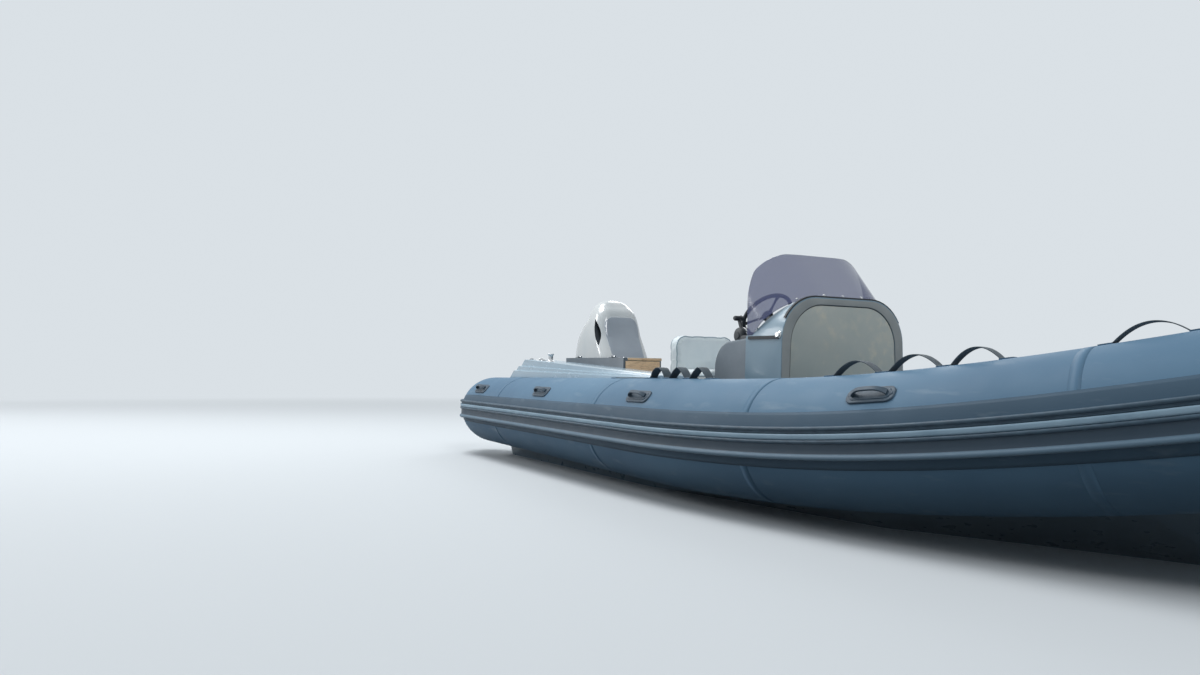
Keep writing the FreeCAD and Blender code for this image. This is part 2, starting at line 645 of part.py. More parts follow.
# Throttle: a control box on the starboard side of the pod with its lever.
BOX_BACK, BOX_SIDE, BOX_TOP = pod_front - 135, -385, pod_height + 60
throttle = Part.makeBox(150, 70, 60, Vector(BOX_BACK, BOX_SIDE, pod_height))
feature("throttle_box", biggest(throttle.cut(pod)))
pivot = Vector(BOX_BACK + 59, BOX_SIDE + 35, BOX_TOP + 0.3)
lever = Part.makeCylinder(7, 76, pivot + Vector(0, 0, 3.2), Vector(-0.35, 0, 1)).multiFuse([
    Part.makeCylinder(12, 8, pivot),
    Part.makeCylinder(14, 70, Vector(pivot.x - 29, BOX_SIDE, pivot.z + 80), Vector(0, 1, 0))])
feature("throttle_lever", lever)

# Windscreen: a sheet bent round the console's shoulders and raked aft, its top edge cut to an arch.
rake = math.tan(math.radians(size("screen_rake")))
screen_foot, screen_top = console_top - 350, size("screen_top")


def screen_block(inset):
    half, corner = size("screen_half") - inset, size("screen_corner") - inset
    front = console_front - inset + (console_top - screen_foot) * rake
    back, bend = console_back - 570, corner * (1 - math.sqrt(0.5))

    def at(x, y):
        return Vector(x, y, screen_foot)
    wire = Part.Wire([
        Part.LineSegment(at(back, half), at(back, -half)).toShape(),
        Part.LineSegment(at(back, -half), at(front - corner, -half)).toShape(),
        Part.Arc(at(front - corner, -half), at(front - bend, bend - half), at(front, corner - half)).toShape(),
        Part.LineSegment(at(front, corner - half), at(front, half - corner)).toShape(),
        Part.Arc(at(front, half - corner), at(front - bend, half - bend), at(front - corner, half)).toShape(),
        Part.LineSegment(at(front - corner, half), at(back, half)).toShape(),
    ])
    rise = screen_top - screen_foot
    return slab(wire, Vector(-rise * rake, 0, rise))


screen = screen_block(0).cut(screen_block(size("screen_thickness")))
screen_arch = arch((size("screen_half") + 1, screen_foot), (size("screen_half") + 1, screen_top - 200),
                   (220, screen_top), console_back + 10, 0.15)
above = [(console_back, dash - 2), (dash_x, dash), (console_front - 15, console_top),
         (console_front + 320, console_top + 180), (console_front + 320, screen_top), (console_back, screen_top)]
screen = screen.common(slab(screen_arch, Vector(600, 0, 0))).common(slab(wire_xz(above, -600), Vector(0, 1200, 0)))
feature("windscreen", biggest(screen.cut(console_solid(0))))

# Helm seat: a base, a cushion and a backrest.
seat_half, seat_base_top = size("seat_half"), size("seat_base_top")
BACKREST = 100
seat_base = box("seat_base_block", ("seat_back + 10", "seat_front - 40"), ("-seat_half + 15", "seat_half - 15"),
                ("deck_height + sole_thickness", "seat_base_top"))
part(seat_base, "seat_base")
cushion = Part.makeBox(size("seat_front") - size("seat_back") - BACKREST, 2 * seat_half, size("seat_cushion"),
                       Vector(size("seat_back") + BACKREST, -seat_half, seat_base_top + 0.3))
cushion = round_edges(cushion, 25, lambda e: e.BoundBox.ZMin > seat_base_top + 40)
feature("seat_cushion", cushion)
seat_top = size("seat_top")
back = slab(wire_yz([(-seat_half, seat_base_top + 0.3), (-seat_half, seat_top - 95), (-seat_half + 55, seat_top),
                     (seat_half - 55, seat_top), (seat_half, seat_top - 95), (seat_half, seat_base_top + 0.3)],
                    size("seat_back")), Vector(BACKREST - 0.3, 0, 0))
feature("seat_backrest", back)

# Bow locker: an open-topped box on the deck with a lid hinged at its forward edge.
BOW_FORWARD = "bow_locker_aft + bow_locker_length"
bow_outer = box("bow_outer", ("bow_locker_aft", BOW_FORWARD), ("-bow_locker_half", "bow_locker_half"),
                ("deck_height", "bow_locker_rim"))
bow_hollow = box("bow_hollow", ("bow_locker_aft + locker_wall", BOW_FORWARD + " - hinge_rail"),
                 ("-bow_locker_half + locker_wall", "bow_locker_half - locker_wall"),
                 ("deck_height + 150", "bow_locker_rim + 1"))
bow_rail = box("bow_rail", (BOW_FORWARD + " - hinge_rail", BOW_FORWARD),
               ("-bow_locker_half", "bow_locker_half"), ("bow_locker_rim - 1", "bow_locker_rim + lid_thickness"))
bow_walls = combine("MultiFuse", "bow_walls", [combine("Cut", "bow_open_box", (bow_outer, bow_hollow)), bow_rail])
bow_lid = box("bow_lid_block", ("bow_locker_aft", BOW_FORWARD + " - hinge_rail - lid_gap"),
              ("-bow_locker_half", "bow_locker_half"), ("bow_locker_rim + 0.3", "bow_locker_rim + lid_thickness"))
bow_seam = size("bow_locker_aft") + size("bow_locker_length") - size("hinge_rail") - size("lid_gap") / 2
seams = [Vector(bow_seam, side * (size("bow_locker_half") - 90), size("bow_locker_rim") + size("lid_thickness"))
         for side in (-1, 1)]
bow_box, bow_lid = hinged("bow_box", bow_walls, bow_lid, seams, Vector(1, 0, 0), Vector(0, 0, 1))
part(bow_lid, "bow_locker_lid")
doc.recompute()
feature("bow_locker", biggest(bow_box.Shape.cut(hull)))


# Clamp brackets hooked over the transom, joined by the tilt tube.
tilt = Vector(size("tilt_x"), 0, size("tilt_z"))
tilt_tube = size("tilt_tube")
clamp_half, clamp_plate = size("clamp_half"), size("clamp_plate")
CLAMP_OUTLINE = [(transom_inside, notch - 135), (transom_inside + 18, notch - 135), (transom_inside + 18, tilt.z - 15),
                 (transom_inside, tilt.z + 30), (transom_aft, tilt.z + 30), (transom_aft - 38, tilt.z - 15),
                 (transom_aft - 56, 100), (transom_aft - 45, -20), (transom_aft, -20), (transom_aft, notch),
                 (transom_inside, notch)]
plates = [slab(wire_xz(CLAMP_OUTLINE, y), Vector(0, clamp_plate, 0)) for y in (-clamp_half, clamp_half - clamp_plate)]
tube_end = clamp_half + 12
cross_tube = Part.makeCylinder(tilt_tube, 2 * tube_end, tilt - Vector(0, tube_end, 0), Vector(0, 1, 0))
feature("engine_clamp", plates[0].multiFuse([plates[1], cross_tube]))

# Swivel bracket: a boss that turns on the tilt tube, carrying the upright steering tube.
swivel_x, swivel_pin = size("swivel_x"), size("swivel_pin")
swivel_low, swivel_high = size("swivel_low"), size("swivel_high")
boss_half = clamp_half - clamp_plate - 6
boss = Part.makeCylinder(30, 2 * boss_half, tilt - Vector(0, boss_half, 0), Vector(0, 1, 0))
web = slab(wire_xz([(tilt.x, tilt.z + 28), (tilt.x - 30, tilt.z + 20), (swivel_x + 76, swivel_high),
                    (swivel_x, swivel_high), (swivel_x, swivel_low + 40), (transom_aft - 60, 120),
                    (transom_aft - 40, notch), (tilt.x - 20, tilt.z - 22)], -55), Vector(0, 110, 0))
steering_tube = Part.makeCylinder(size("swivel_tube"), swivel_high - swivel_low, Vector(swivel_x, 0, swivel_low))
swivel = boss.multiFuse([web, steering_tube])
swivel = swivel.cut(Part.makeCylinder(tilt_tube + clearance, 400, tilt - Vector(0, 200, 0), Vector(0, 1, 0)))
swivel = swivel.cut(Part.makeCylinder(swivel_pin + clearance, 600, Vector(swivel_x, 0, swivel_low - 120)))
feature("swivel_bracket", swivel)


# The engine's pieces are drawn with X counted from the steering axis, which is their placement.
STEERING_AXIS = Placement(Vector(swivel_x, 0, 0), Rotation())


def lens(front, back, half, z):
    """A streamlined level section, round in front and pointed aft."""
    middle = front + (back - front) * 0.35
    nose, tail = Vector(front, 0, z), Vector(back, 0, z)
    edges = [Part.Arc(nose, Vector(front + (back - front) * 0.12, side * half * 0.66, z),
                      Vector(middle, side * half, z)).toShape() for side in (-1, 1)]
    edges += [Part.LineSegment(Vector(middle, side * half, z), tail).toShape() for side in (-1, 1)]
    return Part.Wire(Part.sortEdges(edges)[0])


# Engine leg: the steering pin and its two yokes, the housing down to the gearcase, plate, torpedo and skeg.
leg_half, plate_z, prop_z = size("leg_half"), size("plate_height"), size("prop_height")
gear, prop_x = size("gear_radius"), -size("prop_reach")
cowl_bottom = size("cowl_bottom")
pin = Part.makeCylinder(swivel_pin, swivel_high - swivel_low + 60, Vector(0, 0, swivel_low - 35))
yokes = [Part.makeBox(135, 100, 34, Vector(-90, -50, z)) for z in (swivel_high + 6, swivel_low - 42)]
housing = Part.makeLoft([lens(-48, -245, leg_half, cowl_bottom - 90), lens(-48, -235, leg_half, swivel_low + 40),
                         lens(-48, -250, leg_half - 8, plate_z)], True, True)
strut = Part.makeLoft([lens(-45, -255, leg_half - 10, plate_z), lens(-25, -265, 30, prop_z)], True, True)
plate = Part.makeBox(330, 230, 10, Vector(prop_x - 90, -115, plate_z - 5))
plate = round_edges(plate, 60, lambda e: abs(e.tangentAt(e.FirstParameter).z) > 0.9)
gear_back = prop_x + 42
TORPEDO = [(gear_back, 0), (gear_back, gear - 4), (-100, gear), (-20, gear * 0.72), (24, gear * 0.2), (28, 0)]
torpedo = Part.Face(wire_xz(TORPEDO)).revolve(Vector(0, 0, 0), Vector(1, 0, 0), 360)
torpedo.translate(Vector(0, 0, prop_z))
skeg_bottom = size("skeg_bottom")
skeg = slab(wire_xz([(-80, prop_z - 20), (-185, skeg_bottom), (-250, skeg_bottom), (-245, prop_z - 20)], -6),
            Vector(0, 12, 0))
leg = housing.multiFuse([pin, strut, plate, torpedo, skeg] + yokes)
SHAFT = 12
leg = leg.cut(Part.makeCylinder(SHAFT + clearance, 60, Vector(gear_back - 1, 0, prop_z), Vector(1, 0, 0)))
feature("engine_leg", leg, STEERING_AXIS)

# Propeller: a tapered hub on its shaft with three twisted blades.
hub_front, hub_back = gear_back - 6, prop_x - 75
hub = Part.Face(wire_xz([(hub_front, 0), (hub_front, gear - 4), (hub_back, gear - 12), (hub_back, 0)]))
hub = hub.revolve(Vector(0, 0, 0), Vector(1, 0, 0), 360)
prop_shaft = Part.makeCylinder(SHAFT, 50, Vector(hub_front - 1, 0, 0), Vector(1, 0, 0))
PITCH = 400.0


def blade_section(r, chord, thick):
    """A thin lens set to the pitch angle at one radius, upright on the Z axis."""
    turn = math.atan2(PITCH, 2 * math.pi * r)
    along = Vector(math.sin(turn), math.cos(turn), 0)
    face_normal = Vector(math.cos(turn), -math.sin(turn), 0)
    centre = Vector((hub_front + hub_back) / 2, 0, r)
    ends = centre - along * chord / 2, centre + along * chord / 2
    arcs = [Part.Arc(ends[0], centre + face_normal * bow, ends[1]).toShape() for bow in (thick * 0.75, -thick * 0.25)]
    return Part.Wire(Part.sortEdges(arcs)[0])


# Columns: radius, chord, thickness.
BLADE_SECTIONS = [(34, 95, 12), (90, 150, 8), (140, 130, 5), (size("prop_radius"), 50, 2.5)]
blade = Part.makeLoft([blade_section(*row) for row in BLADE_SECTIONS], True, False)
blades = []
for index in range(3):
    copy = blade.copy()
    copy.rotate(Vector(0, 0, 0), Vector(1, 0, 0), 120 * index)
    blades.append(copy)
for solid in [hub, prop_shaft] + blades:
    solid.translate(Vector(0, 0, prop_z))
feature("propeller", hub.multiFuse(blades + [prop_shaft]), STEERING_AXIS)


def rounded(back, front, half, corner, z):
    """A level rectangle with round corners."""
    bend = corner * (1 - math.sqrt(0.5))
    edges = []
    for x_side, y_side in ((1, 1), (-1, 1), (-1, -1), (1, -1)):
        def at(from_end, from_side):
            end = front - from_end if x_side > 0 else back + from_end
            return Vector(end, y_side * (half - from_side), z)
        edges.append(Part.Arc(at(0, corner), at(bend, bend), at(corner, 0)).toShape())
    straight = [((front, half - corner), (front, corner - half)), ((back, half - corner), (back, corner - half)),
                ((front - corner, half), (back + corner, half)), ((front - corner, -half), (back + corner, -half))]
    edges += [Part.LineSegment(Vector(*a, z), Vector(*b, z)).toShape() for a, b in straight]
    return Part.Wire(Part.sortEdges(edges)[0])


# Engine cover: a pan on top of the leg, a hollow cowl on the pan, the grey front panel, the power unit inside.
# The cowl leans back in front and behind and narrows to a hood above its shoulder.
cowl_half, cowl_top = size("engine_width") / 2, size("cowl_top")
# Columns: height, back, front, half width, corner radius.
COWL_LEVELS = [(cowl_bottom, -412, 200, cowl_half - 10, 100), (cowl_bottom + 120, -410, 180, cowl_half, 100),
               (cowl_bottom + 210, -397, 135, cowl_half, 105), (cowl_bottom + 300, -366, 82, cowl_half - 5, 100),
               (cowl_bottom + 390, -290, 54, cowl_half - 16, 95), (cowl_bottom + 455, -228, 38, cowl_half - 30, 90),
               (cowl_top - 88, -218, 14, cowl_half - 50, 85), (cowl_top - 48, -204, -25, cowl_half - 75, 75),
               (cowl_top - 16, -178, -58, cowl_half - 112, 50), (cowl_top, -142, -92, cowl_half - 170, 22)]


def cowl_block(grow):
    """The cowl's outer form, or the same form grown or shrunk."""
    levels = []
    for index, (z, back, front, half, corner) in enumerate(COWL_LEVELS):
        lift = min(grow, 0) if index else 0
        levels.append(rounded(back - grow, front + grow, half + grow, corner + min(grow, 0), z + lift))
    return Part.makeLoft(levels, True, True)


# The dark air intake beside the front panel, one on each side: a crescent through the cowl's shoulder.
INTAKE_TOP, INTAKE_FOOT = (-42, cowl_top - 155), (58, cowl_bottom + 225)
INTAKE_FRONT, INTAKE_BACK = (32, cowl_top - 250), (-12, cowl_top - 275)


def intake(side):
    def at(point):
        return Vector(point[0], side * 110, point[1])
    crescent = Part.Wire([Part.Arc(at(INTAKE_TOP), at(INTAKE_FRONT), at(INTAKE_FOOT)).toShape(),
                          Part.Arc(at(INTAKE_FOOT), at(INTAKE_BACK), at(INTAKE_TOP)).toShape()])
    return slab(crescent, Vector(0, side * 200, 0))


cowl_outer = cowl_block(0)
cowl = biggest(cowl_outer.cut(cowl_block(-size("cowl_wall"))).cut(intake(-1)).cut(intake(1)))
feature("engine_cowl", cowl, STEERING_AXIS)
PAN_LEVELS = [(cowl_bottom - 95, -285, 60, 80, 60), (cowl_bottom - 50, -380, 170, cowl_half - 35, 90),
              (cowl_bottom, -410, 198, cowl_half - 13, 98)]
pan = Part.makeLoft([rounded(back, front, half, corner, z) for z, back, front, half, corner in PAN_LEVELS], True, True)
feature("engine_pan", biggest(pan.cut(leg)), STEERING_AXIS)
panel_outline = arch((137, cowl_bottom + 40), (152, cowl_top - 213), (70, cowl_top - 140), -20)
front_panel = cowl_block(5).common(slab(panel_outline, Vector(300, 0, 0))).cut(cowl_outer)
feature("engine_front_panel", biggest(front_panel), STEERING_AXIS)
feature("power_unit", Part.makeBox(330, 250, 330, Vector(-290, -125, cowl_bottom)), STEERING_AXIS)


# Fittings along the tubes.
def place(shape, origin, along, out):
    shape = shape.copy()
    shape.Placement = Placement(origin, Rotation(along, out.cross(along), out, "ZXY"))
    return shape


def tube_frame(length, angle):
    """A point on the tube's surface, the way along the surface and the way out of it."""
    centre, along, out = frame_at(length)
    up = along.cross(out) * -1.0
    turn = math.radians(angle)
    normal = out * math.cos(turn) + up * math.sin(turn)
    if length >= 0:
        return centre + normal * radius, along, normal
    lean = math.atan((radius - stern_radius) / (start_x - cone_x))
    return (centre + normal * (radius + length * math.tan(lean)), along * math.cos(lean) + normal * math.sin(lean),
            normal * math.cos(lean) - along * math.sin(lean))


# Lifting handles: a pad shaped to the tube, two legs and a grip with room for fingers under it.
HANDLE_STATIONS = [-2290, -1230, -30, 1381, 2650]
GRIP_SEAT = 6.3
handle_length, handle_width = size("handle_length"), size("handle_width")
grip_half = handle_length * 0.21
pad = Part.makeBox(handle_length, handle_width, 24, Vector(-handle_length / 2, -handle_width / 2, -18))
pad = round_edges(pad, handle_width * 0.4, lambda e: abs(e.tangentAt(e.FirstParameter).z) > 0.9)
GRIP_LEG = [(grip_half + 40, GRIP_SEAT), (grip_half + 12, GRIP_SEAT), (grip_half, 28), (grip_half, 38),
            (grip_half + 10, 38)]
legs = [slab(wire_xz([(x * end, z) for x, z in GRIP_LEG], -10), Vector(0, 20, 0)) for end in (1, -1)]
grip_bar = Part.makeBox(2 * grip_half - 0.6, 20, 10, Vector(0.3 - grip_half, -10, 28))
handles = []
for station in HANDLE_STATIONS:
    origin, along, out = tube_frame(station, size("handle_angle"))
    handles.append(place(pad, origin, along, out).cut(tube))
    handles += [place(shape, origin, along, out) for shape in legs + [grip_bar]]
pair("handles", Part.makeCompound(handles))

# Lifeline: webbing bonded to the crown of the tube, looped up between its patches, with a flat run at its
# after end. Columns: place along the tube, loop's chord, loop's height.
LIFELINE_LOOPS = [(-152, 164, 56), (35, 164, 56), (216, 162, 56), (1181, 232, 55), (1447, 232, 57), (1699, 210, 56),
                  (2270, 240, 52), (2620, 240, 52)]
tape, tape_width = size("webbing_thickness"), size("webbing_width")
FOOT, TAPE_SEAT = 11, 0.6


def loop_shape(chord, rise):
    half = chord / 2

    def at(x, z):
        return Vector(x, -tape_width / 2, z)
    inner, outer = half - FOOT, half - FOOT - tape
    return slab(Part.Wire([
        Part.LineSegment(at(-half, 0), at(-outer, 0)).toShape(),
        Part.Arc(at(-outer, 0), at(0, rise - tape), at(outer, 0)).toShape(),
        Part.LineSegment(at(outer, 0), at(half, 0)).toShape(),
        Part.LineSegment(at(half, 0), at(half, tape)).toShape(),
        Part.LineSegment(at(half, tape), at(inner, tape)).toShape(),
        Part.Arc(at(inner, tape), at(0, rise), at(-inner, tape)).toShape(),
        Part.LineSegment(at(-inner, tape), at(-half, tape)).toShape(),
        Part.LineSegment(at(-half, tape), at(-half, 0)).toShape(),
    ]), Vector(0, tape_width, 0))


STRAP_START, STRAP_END = -600, -LIFELINE_LOOPS[0][1] / 2 + LIFELINE_LOOPS[0][0] - 4
strap = Part.makeBox(STRAP_END - STRAP_START, tape_width, tape,
                     Vector((STRAP_START - STRAP_END) / 2, -tape_width / 2, 0))
bands = [((STRAP_START + STRAP_END) / 2, strap)]
bands += [(station, loop_shape(chord, rise)) for station, chord, rise in LIFELINE_LOOPS]
lifeline = []
for station, band in bands:
    origin, along, out = tube_frame(station, 90)
    lifeline.append(place(band, origin + out * TAPE_SEAT, along, out).cut(tube))
pair("lifeline", Part.makeCompound(lifeline))

# Towing eyes: bored lugs on the transom and one on the stem.
eye_hole, eye_plate = size("eye_hole"), size("eye_plate")
EYE_REACH, EYE_RADIUS = 34, 28


def lug(x, y, z, toward):
    """A bored plate in the XZ plane standing out of a wall towards one side of X."""
    ear = Part.makeBox(EYE_REACH, eye_plate, 2 * EYE_RADIUS,
                       Vector(0 if toward > 0 else -EYE_REACH, -eye_plate / 2, -EYE_RADIUS))
    head = Vector(EYE_REACH * toward, -eye_plate / 2, 0)
    ear = ear.fuse(Part.makeCylinder(EYE_RADIUS, eye_plate, head, Vector(0, 1, 0)))
    ear = ear.cut(Part.makeCylinder(eye_hole, eye_plate + 2, head - Vector(0, 1, 0), Vector(0, 1, 0)))
    ear.translate(Vector(x, y, z))
    return ear


def stem_at(z):
    """Where the keel line passes a height."""
    line = [(keel_height(row[0]), station_x(row[0])) for row in HULL_STATIONS]
    for (low, aft), (high, fore) in zip(line, line[1:]):
        if low < z <= high:
            return aft + (fore - aft) * (z - low) / (high - low)
    return line[-1][1]


BOW_EYE_HEIGHT = 160
feature("stern_eyes", Part.makeCompound([lug(transom_aft, side * 560, 60, -1) for side in (-1, 1)]))
feature("bow_eye", biggest(lug(stem_at(BOW_EYE_HEIGHT) + 20, 0, BOW_EYE_HEIGHT, 1).cut(hull)))

# Mooring posts: flared steel posts on the stern side mouldings, square to their sloping tops.
POST_X, POST_Y = transom_inside + 440, coaming_inner + 145
POST = [(0, 0), (21, 0), (21, 4), (16, 9), (16, 38), (23, 50), (23, 54), (0, 56)]
post = Part.Face(wire_xz(POST)).revolve(Vector(0, 0, 0), Vector(0, 0, 1), 360)
top_slope = math.degrees(math.atan2(coaming_top - coaming_low, coaming_forward - transom_inside))
posts = []
for side in (-1, 1):
    copy = post.copy()
    copy.Placement = Placement(Vector(POST_X, side * POST_Y, coaming_height(POST_X)),
                               Rotation(Vector(0, 1, 0), top_slope))
    posts.append(copy)
feature("mooring_posts", Part.makeCompound(posts))

doc.recompute()
os.makedirs("parts", exist_ok=True)
for item in sub_parts:
    bad = [state for state in item.State if state in ("Invalid", "Error")]
    if bad or item.Shape.isNull() or not item.Shape.isValid():
        raise RuntimeError("%s did not build: %s" % (item.Label, item.State))
    item.Shape.exportStep("parts/%s.step" % item.Label)
    print(item.Label, len(item.Shape.Solids), round(item.Shape.Volume / 1e9, 5), item.Shape.BoundBox)
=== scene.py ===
import math

import bmesh
import bpy
from mathutils import Matrix, Quaternion, Vector
from mathutils.bvhtree import BVHTree


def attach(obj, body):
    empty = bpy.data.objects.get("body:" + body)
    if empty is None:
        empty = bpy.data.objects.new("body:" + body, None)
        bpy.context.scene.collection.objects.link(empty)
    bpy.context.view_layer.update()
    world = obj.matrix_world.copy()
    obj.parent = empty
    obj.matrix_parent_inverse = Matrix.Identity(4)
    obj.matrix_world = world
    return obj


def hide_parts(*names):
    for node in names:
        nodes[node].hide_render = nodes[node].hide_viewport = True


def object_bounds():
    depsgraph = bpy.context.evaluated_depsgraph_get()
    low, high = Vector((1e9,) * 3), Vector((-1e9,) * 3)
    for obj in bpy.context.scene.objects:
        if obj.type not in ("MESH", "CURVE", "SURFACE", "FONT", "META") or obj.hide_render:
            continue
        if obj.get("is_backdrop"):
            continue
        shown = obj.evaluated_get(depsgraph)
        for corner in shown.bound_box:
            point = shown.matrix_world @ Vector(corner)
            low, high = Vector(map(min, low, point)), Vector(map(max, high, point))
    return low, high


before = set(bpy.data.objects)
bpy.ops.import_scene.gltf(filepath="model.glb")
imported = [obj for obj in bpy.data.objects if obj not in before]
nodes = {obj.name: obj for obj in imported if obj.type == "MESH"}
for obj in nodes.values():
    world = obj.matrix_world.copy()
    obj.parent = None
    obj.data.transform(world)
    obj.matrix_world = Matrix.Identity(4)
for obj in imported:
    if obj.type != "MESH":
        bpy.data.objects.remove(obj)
cad_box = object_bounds()


# The place it stands: a pale floor at the height of the water, a pale backdrop and soft lamps all round,
# with the eye at the height of the tubes off the starboard bow.
class Field:
    """One varying value in a material, wrapped so that it can be used in sums."""

    def __init__(self, tree, socket):
        self.tree, self.socket = tree, socket

    def node(self, kind, settings, values, output=0):
        made_node = self.tree.nodes.new("ShaderNode" + kind)
        for name, value in settings.items():
            setattr(made_node, name, value)
        for name, value in values.items():
            if isinstance(value, Field):
                self.tree.links.new(value.socket, made_node.inputs[name])
            else:
                made_node.inputs[name].default_value = value
        return Field(self.tree, made_node.outputs[output])

    def maths(self, operation, a, b=0.0):
        return self.node("Math", {"operation": operation}, {0: a, 1: b})

    def __add__(self, other):
        return self.maths("ADD", self, other)

    def __sub__(self, other):
        return self.maths("SUBTRACT", self, other)

    def __mul__(self, other):
        return self.maths("MULTIPLY", self, other)

    def __gt__(self, other):
        return self.maths("GREATER_THAN", self, other)

    def __lt__(self, other):
        return self.maths("LESS_THAN", self, other)

    def wave(self, length):
        """0 to 1 and back over each length."""
        return self.maths("PINGPONG", self * (2 / length), 1.0)

    def between(self, low, high):
        return self.node("MapRange", {}, {"Value": self, "From Min": low, "From Max": high})

    def part(self, axis):
        return self.node("SeparateXYZ", {}, {0: self}, "XYZ".index(axis))

    def noise(self, scale, detail=3.0, stretch=(1, 1, 1)):
        place = self.node("Mapping", {}, {"Vector": self, "Scale": stretch})
        return place.node("TexNoise", {}, {"Vector": place, "Scale": scale, "Detail": detail})

    def tint(self, low, high):
        """A colour that runs from low, where the value is 0, to high, where it is 1."""
        return self.node("Mix", {"data_type": "RGBA"}, {0: self, 6: colour(low), 7: colour(high)}, 2)

    def into(self, material, socket):
        self.tree.links.new(self.socket, shader_of(material).inputs[socket])

    def relief(self, material, depth):
        """Raises the surface by depth, in metres, where the value is 1."""
        self.node("Bump", {}, {"Height": self, "Strength": 1.0, "Distance": depth}).into(material, "Normal")


def colour(tone):
    """A tone is a varying value, shares of the light sent back, or a colour seen on a screen, 0 to 255."""
    if isinstance(tone, Field):
        return tone
    return (*(((part / 255 + 0.055) / 1.055) ** 2.4 if max(tone) > 1 else part for part in tone), 1)


def shader_of(material):
    return material.node_tree.nodes["Principled BSDF"]


def finish(name, tone, roughness, **fixed):
    """A named finish. The fixed values are set on the shader's own sockets."""
    material = bpy.data.materials.new(name)
    material.use_nodes = True
    shader = shader_of(material)
    shader.inputs["Base Color"].default_value = colour(tone)
    shader.inputs["Roughness"].default_value = roughness
    for socket, value in fixed.items():
        shader.inputs[socket.replace("_", " ")].default_value = value
    return material


def placed(name, data):
    """A new object in the scene."""
    thing = bpy.data.objects.new(name, data)
    bpy.context.scene.collection.objects.link(thing)
    return thing


def object_place(material):
    """The point on the piece, in metres in the row frame."""
    tree = material.node_tree
    return Field(tree, tree.nodes.new("ShaderNodeTexCoord").outputs["Object"])


def weathered(name, pale, deep, patch, grain, depth, gloss=(0.3, 0.5), **fixed):
    """A finish whose colour drifts between two tones, with a fine relief and an uneven gloss. Patch and grain
    count the features in a metre."""
    material = finish(name, pale, gloss[0], **fixed)
    place = object_place(material)
    place.noise(patch, 5.0).between(0.3, 0.7).tint(deep, pale).into(material, "Base Color")
    (place.noise(patch * 7, 4.0) * (gloss[1] - gloss[0]) + gloss[0]).into(material, "Roughness")
    place.noise(grain, 2.0).relief(material, depth)
    return material


SKY = (0.70, 0.75, 0.79)
GROUND_TONE, GROUND_BOUNCE = (0.62, 0.66, 0.69), (0.06, 0.065, 0.07)
EDGE_START, EDGE_END = 4.5, 15.0
floor_mesh = bpy.data.meshes.new("floor")
shape = bmesh.new()
bmesh.ops.create_grid(shape, x_segments=1, y_segments=1, size=90)
shape.to_mesh(floor_mesh)
shape.free()
floor = placed("floor", floor_mesh)
floor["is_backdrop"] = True
ground = finish("ground", GROUND_TONE, 0.8, Specular_IOR_Level=0.1)
floor_mesh.materials.append(ground)
rays = ground.node_tree.nodes.new("ShaderNodeLightPath")
shown = Field(ground.node_tree, rays.outputs["Is Camera Ray"])
shown = shown.maths("MAXIMUM", shown, Field(ground.node_tree, rays.outputs["Is Glossy Ray"]))
shown.tint(GROUND_BOUNCE, GROUND_TONE).into(ground, "Base Color")
distance = object_place(ground).node("VectorMath", {"operation": "LENGTH"}, {0: object_place(ground)}, 1)
far = distance.between(EDGE_START, EDGE_END)
haze = distance.node("Emission", {}, {"Color": (*SKY, 1), "Strength": 1.0})
near_shader = Field(ground.node_tree, shader_of(ground).outputs[0])
blend = distance.node("MixShader", {}, {0: far, 1: near_shader, 2: haze})
ground.node_tree.links.new(blend.socket, ground.node_tree.nodes["Material Output"].inputs["Surface"])

AMBIENT = 0.36
world = bpy.data.worlds.new("studio")
bpy.context.scene.world = world
world.use_nodes = True
backdrop = world.node_tree.nodes["Background"]
backdrop.inputs["Color"].default_value = (*SKY, 1)
rays = world.node_tree.nodes.new("ShaderNodeLightPath")
seen_by = [Field(world.node_tree, rays.outputs[name])
           for name in ("Is Camera Ray", "Is Glossy Ray", "Is Transmission Ray")]
direct = seen_by[0].maths("MAXIMUM", seen_by[0], seen_by[1].maths("MAXIMUM", seen_by[1], seen_by[2]))
strength = direct * (1 - AMBIENT) + AMBIENT
world.node_tree.links.new(strength.socket, backdrop.inputs["Strength"])


def lamp(name, place, target, power, width):
    light = bpy.data.lights.new(name, "AREA")
    light.shape, light.size, light.energy = "DISK", width, power
    stand = placed(name, light)
    stand.location = place
    stand.rotation_euler = (Vector(target) - Vector(place)).to_track_quat("-Z", "Y").to_euler()


lamp("key_lamp", (-5, -3, 9), (-0.5, 0, 0.4), 640, 6)
lamp("bow_lamp", (9, -2.5, 8), (0, 0, 0.6), 470, 5)
lamp("rim_lamp", (-9, 7, 7), (0, 0, 0.4), 260, 6)
lamp("stern_lamp", (-9, -8, 5), (-2.4, -1, 0.4), 420, 5)

EYE = Vector((3.6499, -3.5416, 0.6401))
ahead = Vector((-0.88244934, 0.46908334, 0.03527018))
right = Vector((0.46977238, 0.88267213, 0.01427666))
up = right.cross(ahead)
eye = bpy.data.cameras.new("eye")
eye.lens, eye.sensor_width = 27, 36
eye.clip_start, eye.clip_end = 0.05, 400
camera = placed("eye", eye)
camera.matrix_world = Matrix.Translation(EYE) @ Matrix((right, up, -ahead)).transposed().to_4x4()
bpy.context.scene.camera = camera
bpy.context.scene.view_settings.view_transform = "Standard"


